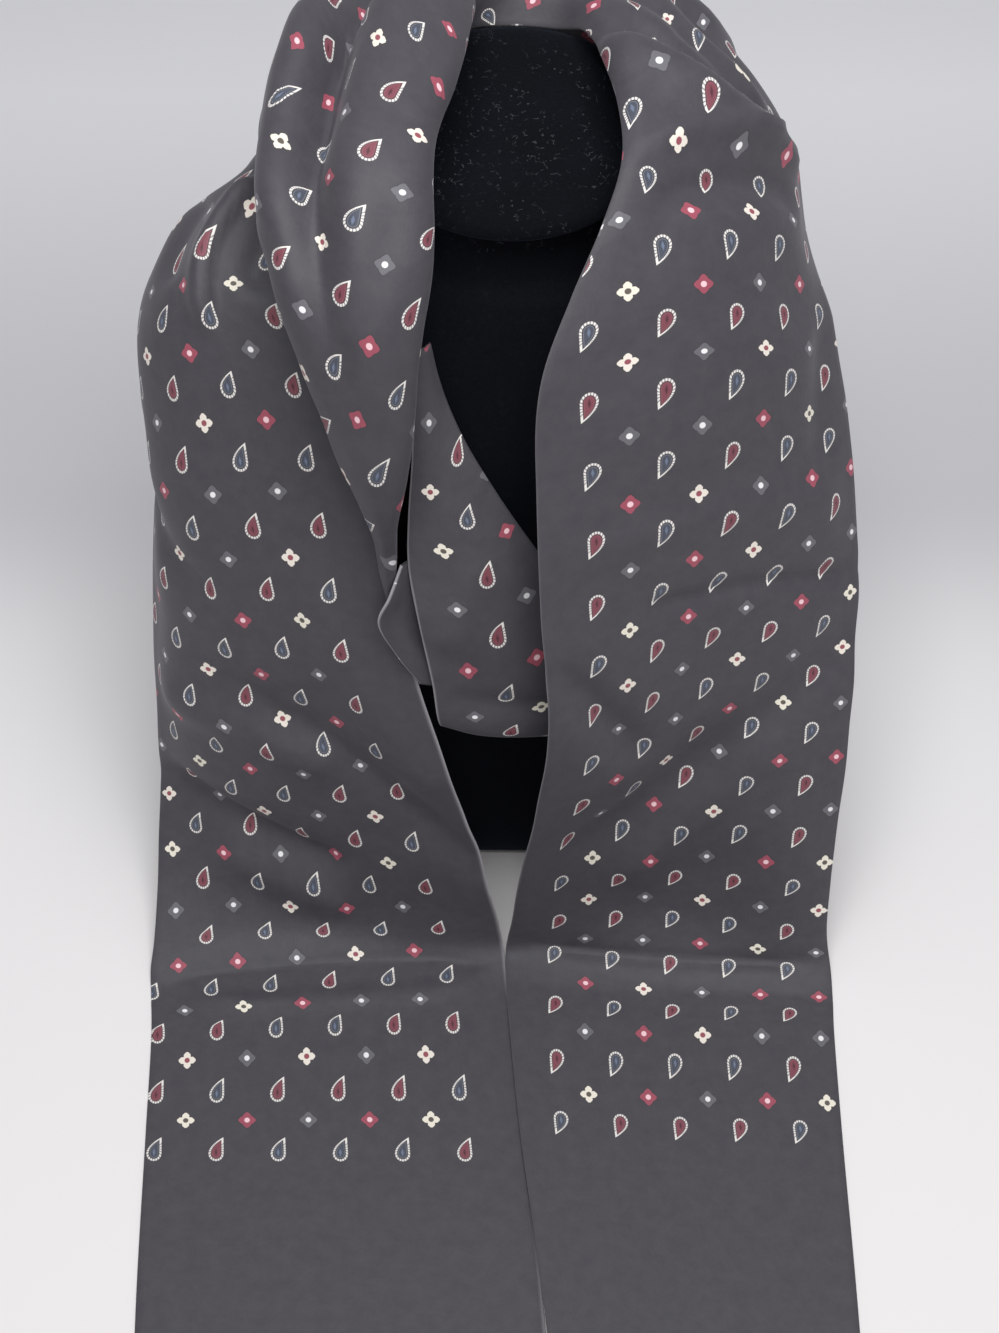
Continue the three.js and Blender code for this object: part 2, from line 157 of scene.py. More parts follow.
def spaced_evenly(points: np.ndarray, count: int) -> np.ndarray:
    """The rows of a grid, each resampled to points that are equally far apart.

    Row r's distances run from 2r to 2r + 1, so that one interpolation serves all rows.

    Args:
        points: a grid of points, rows by fine columns by 3.
        count: how many columns to return.

    Returns:
        The grid with count columns.
    """
    rows, fine = points.shape[:2]
    along = lengths_along(points, 1)
    along = along / along[:, -1:] + 2 * np.arange(rows)[:, None]
    wanted = np.linspace(0, 1, count)[None] + 2 * np.arange(rows)[:, None]
    flat = [np.interp(wanted.ravel(), along.ravel(), points[..., k].ravel()) for k in range(3)]
    return np.stack(flat, axis=-1).reshape(rows, count, 3)


def unit(vectors: np.ndarray) -> np.ndarray:
    """Vectors brought to length 1."""
    return vectors / (np.linalg.norm(vectors, axis=-1, keepdims=True) + LEAST_LENGTH)


def facing(points: np.ndarray) -> np.ndarray:
    """Unit normals of a grid: the way along it crossed with the way across it."""
    return unit(np.cross(np.gradient(points, axis=0), np.gradient(points, axis=1)))


def soft_step(x: np.ndarray) -> np.ndarray:
    """0 below 0, 1 above 1, and 3x^2 - 2x^3 between."""
    x = np.clip(x, 0, 1)
    return x * x * (3 - 2 * x)


def build_mesh(name: str, points: np.ndarray, faces: np.ndarray, uv: np.ndarray | None = None,
               edge: np.ndarray | None = None) -> Piece:
    """A smooth-shaded object from arrays.

    Args:
        name: the piece's name.
        points: its vertices in millimetres, N by 3.
        faces: vertex numbers, F by 4.
        uv: places on the cloth in metres for each corner of each face, F by 4 by 2.
        edge: how strong the painted highlight on each vertex's fold is, from 0 to 1.

    Returns:
        The new object, at the origin, in the scene.
    """
    mesh = bpy.data.meshes.new(name)
    mesh.from_pydata((points * MM).tolist(), [], faces.tolist())
    if uv is not None:
        mesh.uv_layers.new(name="cloth").data.foreach_set("uv", uv.astype(np.float32).ravel())
    # the painted edge highlight's strength, kept on each point
    if edge is not None:
        wear_and_edge_highlight = mesh.attributes.new("edge", "FLOAT", "POINT")
        wear_and_edge_highlight.data.foreach_set("value", edge.astype(np.float32).ravel())
    mesh.shade_smooth()
    piece = bpy.data.objects.new(name, mesh)
    bpy.context.scene.collection.objects.link(piece)
    return piece


def grid_faces(rows: int, columns: int, closed: bool) -> np.ndarray:
    """The four corners of each face of a grid, rows first, turned to face along x across.

    Args:
        rows: rows of vertices.
        columns: vertices in a row.
        closed: whether the last column joins the first.

    Returns:
        Vertex numbers, F by 4.
    """
    r, c = np.meshgrid(np.arange(rows - 1), np.arange(columns - (not closed)), indexing="ij")
    after = (c + 1) % columns
    corners = [r * columns + c, (r + 1) * columns + c, (r + 1) * columns + after,
               r * columns + after]
    return np.stack(corners, axis=-1).reshape(-1, 4)


# ---------------------------------------------------------------- the scarf's tables
@dataclass(frozen=True)
class Groove:
    """A soft groove along the cloth.

    at is its share of the width from the seam edge, depth is in mm, and spread is how many mm
    it reaches to the side of the seam. steep is its reach to the side of the fold, as a share
    of spread.
    """
    at: float
    depth: float
    spread: float
    steep: float = 1.0


NO_GROOVE = Groove(0.5, 0.0, 8.0)


@dataclass(frozen=True)
class Section:
    """One section across the pressed tube.

    row is its middle's place in the print, in rows of paisleys from the left end's second
    row, and tilt how many rows further on its folded edge is than its seam edge. left and
    right are where its seam edge and its folded edge lie on the tube, in mm from the tube's
    seam. The five points are its seam edge, the turn near the seam, its middle, the turn
    near the fold and its folded edge.
    """
    row: float
    tilt: float
    left: float
    right: float
    seam: Point
    inner: Point
    mid: Point
    outer: Point
    fold: Point
    grooves: tuple[Groove, ...] = ()


def lying(row: float, tilt: float, left: float, right: float, y: float, xs: tuple[float, ...],
          lifts: Span = (LIE, LIE)) -> Section:
    """A section that lies on the table, straight across.

    Args:
        row, tilt, left, right: as in Section.
        y: where it lies.
        xs: its five points, from the seam edge to the folded edge.
        lifts: the heights of the first two of them.

    Returns:
        The section.
    """
    heights = (*lifts, LIE, LIE, LIE)
    return Section(row, tilt, left, right, *((x, y, z) for x, z in zip(xs, heights)))


@dataclass(frozen=True)
class Crease:
    """A crease pressed into the cloth between two places.

    start and end are (share of the width from the seam edge, section number). height is mm
    out of the cloth, and less than 0 for a trough. width is mm to each side, bow is how far
    its middle strays sideways in mm, and sharp makes it a fold instead of a swell. steep is
    its width on the left-hand side, seen from the front and going from start to end, as a
    share of width.
    """
    start: tuple[float, float]
    end: tuple[float, float]
    height: float
    width: float
    bow: float = 0.0
    sharp: bool = False
    steep: float = 1.0


FIRST_RUN = (
    # row, tilt, left, right, then the five points, and the grooves
    # the left end, from its hem to the foot of the hang; lying has y and the points' x instead
    lying(-6.4, 0, -1, 134, -318, (14, -15, -52, -94, -121)),
    lying(-3.45, 0, -1, 134, -250, (10, -22, -58, -98, -127)),
    lying(-0.75, 0, -1, 133, -190, (5, -26, -62, -102, -131)),
    Section(1.05, 0, -1, 132, (0, -140, LIE), (-30, -141, LIE), (-67, -142, LIE), (-105, -144, LIE),
            (-134, -146, LIE)),
    Section(1.95, 0, -1, 130, (-2, -121, 1.6), (-32, -123, LIE), (-69, -125, LIE), (-107, -128, LIE),
            (-136, -130, LIE)),
    # up the left of the chest
    Section(2.5, 0, -1, 129, (-3, -112, 5), (-33, -112, 4), (-69, -114, 3), (-107, -117, 3),
            (-137, -120, 3)),
    Section(3.12, 0, -2, 127, (-5, -109, 18), (-36, -107, 14), (-71, -104, 9), (-107, -105, 9),
            (-136, -110, 9)),
    Section(4.95, 0, -4, 124, (-13, -106, 58), (-46, -99, 55), (-79, -93, 50), (-110, -84, 45),
            (-134, -77, 39)),
    Section(7.0, 0, -6, 120, (-24, -101, 106), (-58, -92, 101), (-90, -87, 95), (-117, -77, 89),
            (-131, -62, 83)),
    Section(9.05, 0, -2, 110, (-36, -89, 151), (-69, -84, 147), (-100, -78, 140), (-120, -66, 134),
            (-129, -48, 128)),
    Section(11.05, 0, 0, 102, (-43, -74, 193), (-75, -70, 191), (-106, -64, 184), (-121, -50, 176),
            (-124.5, -33, 171)),
    Section(12.95, 0, -2, 100, (-48, -54, 232), (-79, -52, 234), (-107, -46, 227), (-122, -34, 217),
            (-126, -20, 207)),
    Section(14.05, 0, -4, 104, (-53, -40, 250), (-82, -39, 254), (-107, -34, 249), (-122, -20, 236),
            (-126, -3, 225)),
    # over the left shoulder
    Section(14.9, 0, -3, 99, (-56, -28, 258), (-82, -27, 264), (-104, -22, 260), (-118, -8, 246.5),
            (-122, 8, 234)),
    Section(15.6, 0, 2, 92, (-55, -8, 265), (-76, -6, 272), (-94, -2, 270), (-108, 9, 257),
            (-112, 24, 242)),
    Section(16.4, 0, 6, 86, (-54, 12, 267), (-68, 15, 274), (-83, 19, 270), (-94, 30, 255), (-98, 43, 239)),
    Section(17.1, 0, 8, 84, (-49, 28, 266), (-60, 34, 274), (-72, 43, 272), (-82, 51, 254), (-83, 59, 235)),
    # behind the neck, the inner turn
    Section(18.05, 0, 12, 80, (-38, 41, 268), (-44, 47, 275), (-52, 55, 267), (-57, 62, 249),
            (-58, 68, 230)),
    Section(19.3, 0, 12, 80, (-20, 50, 272), (-22, 57, 279), (-25, 65, 269), (-27, 72, 249),
            (-27, 76, 228)),
    Section(20.6, 0, 12, 80, (3, 52.5, 273), (4, 59, 280), (5, 67, 270), (6, 74, 249), (6, 78, 228)),
    Section(21.85, 0, 12, 80, (25, 47, 271), (29, 53, 278), (34, 61, 269), (38, 67, 250), (40, 72, 231)),
    Section(23.1, 0, 14, 74, (43.4, 33, 268.6), (49, 37.5, 276), (57, 43, 269), (63, 50, 254),
            (65, 56, 238)),
    # down the right of the chest, under the last stretch
    Section(24.1, 0, 14, 72, (51, 18, 268), (57, 20, 276), (68, 23, 271), (76, 30, 259), (79, 38, 246)),
    Section(25.3, 0, 14, 72, (53, -8, 265), (60, -8, 272), (72, -6, 269), (83, 0, 258), (89, 9, 247)),
    Section(26.6, 0, 12, 74, (47, -34, 256), (56, -35, 261), (71, -34, 258), (85, -28, 248),
            (94, -17, 240)),
    Section(28.0, 0, 8, 80, (37, -56, 238), (48, -58, 240), (65, -57, 234), (83, -50, 224), (96, -37, 217)),
    Section(29.7, 0, 6, 84, (26, -72, 212), (39, -72, 209), (59, -69, 200), (80, -60, 190), (96, -48, 184)),
    Section(31.3, 0, 14, 98, (13, -79, 180), (29, -79, 174), (51, -76, 164), (74, -67, 155),
            (93, -55, 150)),
    # turned up at the foot, in front of the chest
    Section(33.0, 0, 34, 120, (-3, -84, 149), (15, -84, 143), (38, -82, 134), (61, -76, 128),
            (82, -67, 124)),
    Section(34.3, -0.6, 56, 134, (-16, -88, 126), (0, -88, 122), (20, -86, 117), (41, -82, 115),
            (60, -76, 114)),
    Section(34.9, -1.0, 68, 143, (-21, -93, 119.5), (-9, -91.5, 114.5), (11, -90, 111), (32, -87, 110),
            (51, -82, 110)),
    Section(35.5, -1.0, 80, 150, (-24, -98, 121), (-11, -97.5, 115), (8, -96, 112), (30, -92, 111),
            (49, -87, 111)),
    Section(36.8, -1.0, 92, 156, (-26.5, -97, 141), (-14, -96.5, 135), (4, -95, 130), (24, -91, 128),
            (42, -86, 128)),
    Section(38.1, -0.35, 120, 170, (-31, -91.5, 169), (-20, -92, 165), (-5, -91, 162), (10, -88, 162),
            (23, -84, 163)),
    Section(39.2, 0.1, 140, 180, (-33.5, -85.5, 186), (-25, -86.5, 185), (-14, -86, 186), (-4, -83.5, 189),
            (4, -79, 193)),
    Section(40.1, 0.15, 153, 184, (-33, -79, 202), (-27, -80, 202), (-20, -80, 203), (-13, -78, 205),
            (-6, -74, 208)),
    Section(41.05, 0.15, 173, 193, (-31.5, -72, 220), (-28, -72.5, 220), (-24, -72, 221),
            (-20, -70.5, 223), (-16, -68, 225)),
    Section(41.9, 0.15, 192, 202, (-30.5, -63, 240), (-29, -63, 240), (-27, -62.5, 240.5),
            (-25, -61.5, 241), (-23, -60, 241)),
    Section(42.4, 0.15, 196, 204, (-30, -57, 252), (-29, -57, 252), (-28, -56.5, 252.3),
            (-27, -56, 252.6), (-26, -55, 253)),
)

SECOND_RUN = (
    # row, tilt, left, right, then the five points, and the grooves
    # the loop's left side, from its foot up to the neck
    Section(40.8, 0, 30, 33, (-39.5, -86, 171), (-40, -87, 170.7), (-40.3, -87.3, 170.5),
            (-40.7, -87, 170.7), (-41, -86.2, 171)),
    Section(41.4, -0.6, 28, 38, (-38.2, -82, 191), (-38.4, -88, 190), (-40.8, -90, 190),
            (-43.3, -87, 190.5), (-44.2, -81, 192)),
    Section(42.2, -0.6, 22, 58, (-36.6, -80, 215), (-36.4, -91, 213), (-41.5, -94, 212),
            (-47, -89, 213), (-48.3, -77, 217)),
    Section(42.95, -0.9, 18, 77, (-34, -76, 241), (-32, -90, 238), (-43.5, -95, 236), (-55, -87, 239),
            (-57.8, -70, 244)),
    Section(43.8, -1.3, 17, 98, (-32, -69, 266), (-29.5, -86, 263), (-45, -93, 263), (-62, -83, 264),
            (-65.5, -62, 267), (Groove(0.54, 2, 9, 0.8),)),
    Section(45.0, -1.6, 20, 110, (-31, -56, 288), (-26, -72, 292), (-48, -83, 294), (-70, -72, 290),
            (-72.5, -48, 284), (Groove(0.57, 6, 10, 0.6),)),
    Section(46.25, -2.3, 30, 119, (-32, -39, 298), (-27, -50, 310), (-48, -60, 316), (-72.5, -51, 306),
            (-76.5, -30, 289), (Groove(0.60, 11, 12, 0.5),)),
    Section(47.4, -2.8, 34, 128, (-30.5, -17, 302), (-24.5, -24, 316), (-46, -30, 325),
            (-72, -25, 313), (-79, -10, 291), (Groove(0.61, 15, 13, 0.45),)),
    Section(48.35, -3.7, 24, 158, (-27, 8, 304), (-18, 5, 319), (-41, 5, 331), (-69, 6, 321),
            (-79.5, 14, 294), (Groove(0.60, 17, 13.5, 0.45),)),
    # behind the neck, the outer turn
    Section(49.6, -3.8, 26, 152, (-22, 32, 305), (-15, 31, 318), (-37, 34, 331), (-63, 37, 320),
            (-76, 42, 290), (Groove(0.57, 15, 13, 0.5),)),
    Section(51.05, -3.3, 34, 142, (-15, 54.4, 299), (-12, 56, 313), (-27, 66, 321), (-48, 73, 306),
            (-58, 76, 275), (Groove(0.52, 9, 9),)),
    Section(52.4, -2.0, 44, 126, (0, 57.3, 298.5), (1, 65, 308), (-4, 77, 309), (-12, 87, 290),
            (-17, 91, 261), (Groove(0.44, 5, 9), Groove(0.7, 3, 9))),
    Section(53.7, -0.6, 47, 126, (14, 55.4, 298.6), (18, 63, 308), (22, 77, 308), (27, 88, 290),
            (30, 93, 261), (Groove(0.34, 4, 9), Groove(0.6, 4, 9))),
    # over the right shoulder
    Section(54.85, 0.5, 45, 130, (23, 45, 304), (29, 46, 310), (43, 62, 310), (58, 78, 293), (68, 86, 266),
            (Groove(0.28, 4, 8), Groove(0.5, 4, 9))),
    Section(56.1, 0.8, 42, 130, (29, 21, 309), (33, 20, 312), (54, 34, 310), (75, 49, 292), (88, 61, 267),
            (Groove(0.42, 5, 8), Groove(0.64, 4, 9))),
    Section(56.9, 0.5, 40, 122, (33, -7, 309), (37.5, -5, 311.5), (63, 6, 304), (85, 21, 287),
            (96, 39, 263), (Groove(0.64, 3, 9), Groove(0.85, 1, 9))),
    # down the right of the chest
    Section(57.65, 0.25, 37, 123, (33.5, -31, 304.5), (38.5, -28.5, 306), (64, -15, 295), (87, 0, 279),
            (97, 18, 257)),
    Section(58.7, 0.5, 28, 117, (27.5, -49, 294), (33.5, -47, 294.5), (65, -33, 284), (90, -15, 264),
            (100, 3, 246)),
    Section(59.6, 0.35, 17, 117, (18, -65, 278), (31, -61, 278), (66, -48, 269), (93, -25, 248),
            (105.5, -9, 234)),
    Section(60.6, 0.2, 8, 118, (9, -80, 258), (29, -73, 258), (67, -59, 252), (98, -36, 232),
            (110, -20, 221)),
    Section(62.1, 0, 5, 120, (8, -93, 224), (30, -86, 224), (68, -71, 218), (102, -48, 203),
            (115.5, -33, 194)),
    Section(64.0, 0, 3, 123, (10, -107, 182), (31, -99, 181), (69, -82, 174), (107, -64, 162),
            (121, -53, 156)),
    Section(66.0, 0, 3, 124, (13, -116, 137), (34, -107, 136), (68, -89, 130), (107, -79, 122),
            (122.5, -72, 118)),
    Section(68.0, 0, 4, 123, (9, -116, 92), (31, -108, 90), (65, -94, 84), (105, -92, 80),
            (121.5, -88, 77)),
    Section(69.9, 0, 4, 122, (3, -114, 45), (24, -107, 44), (62, -101, 38), (103, -105, 37),
            (120, -104, 36)),
    Section(71.0, 0, 3, 123, (1, -112, 22), (22, -110, 20), (62, -107, 17), (103, -112, 16),
            (120, -113, 16)),
    Section(71.95, 0, 3, 124, (-1, -113, 5.9), (20, -115, 5), (61, -118, 4), (104, -121, 4),
            (122, -122, 4)),
    # the right end, to its hem, over the left end's seam edge
    Section(72.5, 0, 2, 124, (-1, -122, OVER + TUCK), (20, -125, OVER), (61, -129, LIE), (104, -131, LIE),
            (122, -132, LIE)),
    Section(73.3, 0, 4, 124, (0, -141, OVER + TUCK), (20, -142, OVER), (61, -143, LIE), (104, -144, LIE),
            (121, -145, LIE)),
    lying(75.1, -0.15, 6, 123, -190, (4, 23, 61, 102, 119), (OVER + TUCK, OVER)),
    lying(77.7, 0, 7, 120, -250, (11, 28, 63, 101, 117), (OVER + TUCK, OVER)),
    lying(80.6, 0, 7, 116, -318, (17, 32, 64, 99, 114), (OVER + TUCK, OVER)),
)

FLAP_RUN = (
    Section(0.0, 0, 8, 10, (-36, -86.4, 186.6), (-35.6, -86, 186.4), (-35.2, -85.4, 186.2),
            (-34.8, -84.6, 186), (-34.4, -83.8, 185.8)),
    Section(0.35, 0, 4, 14, (-40, -91.8, 177), (-38, -90.4, 176), (-36, -88, 175.5), (-34, -86.4, 175),
            (-31.8, -85.5, 174.5)),
    Section(0.8, 0, 2, 17.5, (-44, -92.8, 166), (-40.5, -92, 164), (-37, -91, 162), (-34, -89.7, 160),
            (-31, -88.5, 158)),
    Section(1.45, 0, 2, 17.5, (-38.5, -93.5, 151), (-35.5, -93.3, 149.5), (-32.5, -93, 148),
            (-29.5, -92.4, 146.5), (-26.5, -91.6, 145)),
    Section(2.1, 0, 4, 15, (-31, -94.5, 138), (-29.3, -94.4, 137.5), (-27.5, -94.2, 137),
            (-25.7, -93.9, 136.5), (-24, -93.5, 136)),
)

FIRST_CREASES = (
    # where the hang meets the table
    Crease((1.0, 4.35), (0.0, 4.3), -4.2, 2.6, bow=3, sharp=True),
    Crease((0.97, 3.75), (0.02, 3.85), 1.2, 5, bow=-4),
    # long soft troughs down from the fold, and the swells beside them
    Crease((1.02, 7.6), (0.36, 6.7), -5.0, 7, bow=-3),
    Crease((0.86, 6.9), (0.40, 6.2), 3.0, 8),
    Crease((0.74, 8.95), (-0.06, 6.55), -4.2, 9, bow=5),
    Crease((0.98, 8.5), (0.30, 7.7), 2.8, 8, bow=4),
    Crease((0.30, 9.9), (0.02, 7.4), 2.6, 9, bow=-3),
    Crease((1.02, 10.3), (0.55, 9.3), -2.2, 7),
    # the pinch beside the neck
    Crease((0.34, 14.6), (0.46, 11.6), 5.5, 5.0, bow=-4, steep=0.5),
    Crease((0.20, 14.4), (0.30, 12.2), -3.6, 6),
    Crease((0.62, 14.3), (0.66, 12.4), -3.0, 8),
    # behind the neck and down to the foot of the loop
    Crease((0.62, 17.2), (0.48, 21.4), 2.2, 6, bow=3),
    Crease((0.30, 16.6), (0.28, 20.4), -1.8, 5),
    Crease((0.55, 23.4), (0.40, 29.0), -2.2, 8, bow=3),
    # on the turned-up front
    Crease((0.02, 31.8), (0.98, 31.9), 1.5, 4.5, bow=-2),
    Crease((0.10, 32.5), (0.62, 34.2), -1.1, 6),
)

SECOND_CREASES = (
    # the two lobes of the loop's left side, and small folds across them
    Crease((0.26, 4.4), (0.26, 10.3), 3.0, 11, bow=-3),
    Crease((0.84, 4.9), (0.82, 9.7), 2.2, 10),
    Crease((0.24, 5.7), (0.50, 4.7), -1.3, 6),
    Crease((0.92, 6.4), (0.70, 5.1), -1.2, 5, bow=2),
    # behind the neck
    Crease((0.20, 10.2), (0.22, 12.9), 2.0, 6),
    Crease((0.86, 10.4), (0.78, 13.2), -2.2, 7),
    # the fold thrown up over the right shoulder, and the dip behind it
    Crease((0.0, 13.6), (0.82, 15.2), 6.5, 13, bow=-18, steep=0.28),
    Crease((0.08, 13.2), (0.98, 15.0), -5.0, 8, bow=-22),
    Crease((0.30, 12.4), (1.0, 13.4), 5.0, 8, bow=-6, steep=0.4),
    Crease((0.02, 16.0), (0.95, 15.75), 4.2, 6, bow=9, steep=0.5),
    Crease((0.10, 16.9), (0.85, 16.5), -3.4, 6, bow=7),
    # long soft troughs down the right of the chest
    Crease((0.22, 21.15), (1.04, 21.05), -3.0, 3.6, bow=3),
    Crease((0.10, 20.6), (0.98, 20.5), 1.8, 7, bow=5),
    Crease((1.03, 21.3), (0.02, 23.9), -4.6, 11, bow=4),
    Crease((0.0, 21.35), (0.34, 22.7), -3.0, 7),
    Crease((0.80, 22.4), (0.30, 24.3), 3.0, 9),
    Crease((0.95, 18.2), (0.85, 20.2), -2.0, 8),
    # where the hang meets the table
    Crease((0.0, 25.75), (1.0, 25.75), -4.6, 2.6, bow=-3, sharp=True),
    Crease((0.02, 26.4), (0.98, 26.3), 1.2, 5, bow=3),
)


# ---------------------------------------------------------------- the scarf's runs
@dataclass
class ClothRun:
    """A hollow run of the pressed tube, worked out from its table of sections.

    hems says whether its first and its last end are sewn shut. places is the section number
    at each row of the mesh, and surface() works it out.
    """
    name: str
    nodes: tuple[str, ...]
    sections: tuple[Section, ...]
    creases: tuple[Crease, ...] = ()
    hems: tuple[bool, bool] = (False, False)
    rests_on: tuple[str, ...] = ()
    held: str = "draped"
    columns: int = 53            # places across the pressed tube
    step: float = 3.7            # mm between sections of the mesh, at the most
    swell: float = 0.55          # mm, how far the cloth's slow waves stray
    turn: int = 3                # places round each folded edge
    highlight_strength: float = 1.0            # how strong the painted highlight along the seam edge is
    places: np.ndarray = field(init=False)

    def knots(self) -> np.ndarray:
        """The table's points: sections by 5 by 3."""
        return np.array([(s.seam, s.inner, s.mid, s.outer, s.fold) for s in self.sections], float)

    def column(self, name: str) -> np.ndarray:
        """One named column of the table at every section of the mesh, on a smooth curve."""
        values = np.array([getattr(s, name) for s in self.sections], float)
        return smooth_run(np.stack([10 * np.arange(len(values)), values], axis=-1), self.places)[:, 1]

    def pressed(self, points: np.ndarray) -> np.ndarray:
        """How far the table's grooves press the cloth in.

        It is the sum over a section's grooves of depth x exp(-(distance across / spread)^2),
        with spread x steep on the folded side. Where a section has no groove, its neighbours'
        one runs on with a depth of 0.

        Args:
            points: the middle surface, a grid of points in mm.

        Returns:
            The depth at each point, in mm.
        """
        across = lengths_along(points, 1)
        total = np.zeros(across.shape)
        numbers = np.arange(len(self.sections))
        for n in range(GROOVES):
            rows = [(s.grooves + (NO_GROOVE,) * GROOVES)[n] for s in self.sections]
            real = [k for k, groove in enumerate(rows) if groove.depth > 0]
            if not real:
                continue
            at = np.interp(self.places, real, [rows[k].at for k in real])[:, None]
            depth, spread, steep = (
                np.interp(self.places, numbers, [getattr(groove, name) for groove in rows])[:, None]
                for name in ("depth", "spread", "steep"))
            off = across - at * across[:, -1:]
            reach = spread * np.where(off > 0, steep, 1.0)
            total += depth * np.exp(-(off / reach) ** 2)
        return total

    def creased(self, points: np.ndarray) -> np.ndarray:
        """How far the creases and slow waves raise the cloth.

        A crease's height is scaled by exp(-(d/width)^2), or by exp(-|d|/width) where it is
        sharp, with d the distance from its line, and fades over the fifth at each end.
        Its line is a parabola that strays by bow at its middle. The slow waves are a sum of
        sines of the places across and along, and die out where the cloth lies on the table.

        Args:
            points: the middle surface, a grid of points in mm.

        Returns:
            The height at each point, in mm.
        """
        across = lengths_along(points, 1)
        along = lengths_along(points, 0).mean(axis=1, keepdims=True) + 0 * across
        total = np.zeros(across.shape)
        for crease in self.creases:
            ends = []
            for share, place in (crease.start, crease.end):
                row = int(np.abs(self.places - place).argmin())
                ends.append(np.array([share * across[row, -1], along[row, 0]]))
            way = ends[1] - ends[0]
            length = np.linalg.norm(way)
            way = way / length
            x, y = across - ends[0][0], along - ends[0][1]
            t = (x * way[0] + y * way[1]) / length
            d = x * way[1] - y * way[0] - crease.bow * 4 * t * (1 - t)
            width = np.where(d > 0, crease.steep, 1.0) * crease.width
            near = np.exp(-np.sqrt(d ** 2 + SHARP_TOP) / width if crease.sharp else -(d / width) ** 2)
            total += crease.height * near * soft_step(t * CREASE_ENDS) * soft_step((1 - t) * CREASE_ENDS)
        slow = sum(a * np.sin(2 * pi * (across / u + along / v) + p) for a, u, v, p in SLOW_WAVES)
        return total + self.swell * slow * soft_step((points[..., 2] - WAVES_FROM) / WAVES_RISE)

    def surface(self) -> np.ndarray:
        """The middle surface of the pressed tube.

        The table's points run smoothly along the cloth, then across it, and are spaced evenly
        across. Grooves press them in and creases raise them, both along the normals.

        Returns:
            A grid of points in mm, rows by columns by 3.
        """
        knots = self.knots()
        spans = np.linalg.norm(np.diff(knots, axis=0), axis=-1).max(axis=1)
        counts = np.ceil(spans / self.step).astype(int) + EXTRA_ROWS
        pieces = [k + np.arange(n) / n for k, n in enumerate(counts)]
        self.places = np.concatenate(pieces + [np.array([len(knots) - 1.0])])
        stations = smooth_run(knots, self.places)
        across = np.linspace(0, knots.shape[1] - 1, FINE * self.columns + 1)
        fine = smooth_run(stations.transpose(1, 0, 2), across)
        points = spaced_evenly(fine.transpose(1, 0, 2), self.columns)
        points -= facing(points) * self.pressed(points)[..., None]
        points += facing(points) * self.creased(points)[..., None]
        points[..., 2] = np.maximum(points[..., 2], LIE)
        return points

    def half_thickness(self, points: np.ndarray) -> np.ndarray:
        """From the tube's middle to its outer face.

        It is HALF_TUBE, and goes down to HALF_HEM over the last millimetres of a sewn end.

        Args:
            points: the middle surface, a grid of points in mm.

        Returns:
            The distance at each row, in mm.
        """
        along = lengths_along(points, 0).mean(axis=1)
        to_hem = np.full(along.shape, np.inf)
        for sewn, distance in zip(self.hems, (along, along[-1] - along)):
            if sewn:
                to_hem = np.minimum(to_hem, distance)
        return HALF_HEM + (HALF_TUBE - HALF_HEM) * soft_step(to_hem / HEM)

    def skin(self, points: np.ndarray) -> tuple[np.ndarray, np.ndarray, np.ndarray]:
        """The tube's outer face round each section, and its places on the cloth.

        The front lies half a tube out along the normals, the back as far the other way, and
        a half circle joins them round each edge. On the front the place round the tube goes
        from left to right with the distance across, and on the back it goes on from right.

        Args:
            points: the middle surface, a grid of points in mm.

        Returns:
            The points, rows by places round by 3; the cloth's places in mm, round the tube and
            along it, with one more place than there are points; and how strong the painted
            highlight on each point's edge is.
        """
        normals = facing(points)
        half = self.half_thickness(points)[:, None, None]
        left, right = self.column("left")[:, None], self.column("right")[:, None]
        angles = np.linspace(0, pi, self.turn + 2)[1:-1]

        def edge(column: int, inward: int, side: float) -> np.ndarray:
            """A half circle round one edge, from the front if side is 1, or the back if -1."""
            out = unit(points[:, column] - points[:, inward])[:, None]
            up = normals[:, column][:, None] * side
            round_it = up * np.cos(angles)[None, :, None] + out * np.sin(angles)[None, :, None]
            return points[:, column][:, None] + half * round_it

        front = points + half * normals
        back = (points - half * normals)[:, ::-1]
        ring = np.concatenate([front, edge(-1, -2, 1), back, edge(0, 1, -1)], axis=1)
        share = lengths_along(points, 1)
        share = share / share[:, -1:]
        flat = np.zeros((len(points), self.turn))
        across = np.concatenate([left + (right - left) * share, flat + right,
                                 2 * right - left - (right - left) * share[:, ::-1],
                                 flat + 2 * right - left, 2 * right - left], axis=1)
        share = np.concatenate([share, flat + 1, share[:, ::-1], flat, flat[:, :1]], axis=1)
        along = self.column("row")[:, None] + self.column("tilt")[:, None] * (share - 0.5)
        # A painted highlight where light would catch the seam edge: full round its turn, less on the places
        # beside it.
        wear_and_edge_highlight = np.zeros(ring.shape[:2])
        wear_and_edge_highlight[:, -self.turn:] = np.sin(angles)
        wear_and_edge_highlight[:, 0] = wear_and_edge_highlight[:, -self.turn - 1] = HIGHLIGHT_BESIDE_EDGE
        return ring, np.stack([across, along * ROW_PITCH], axis=-1), wear_and_edge_highlight * self.highlight_strength

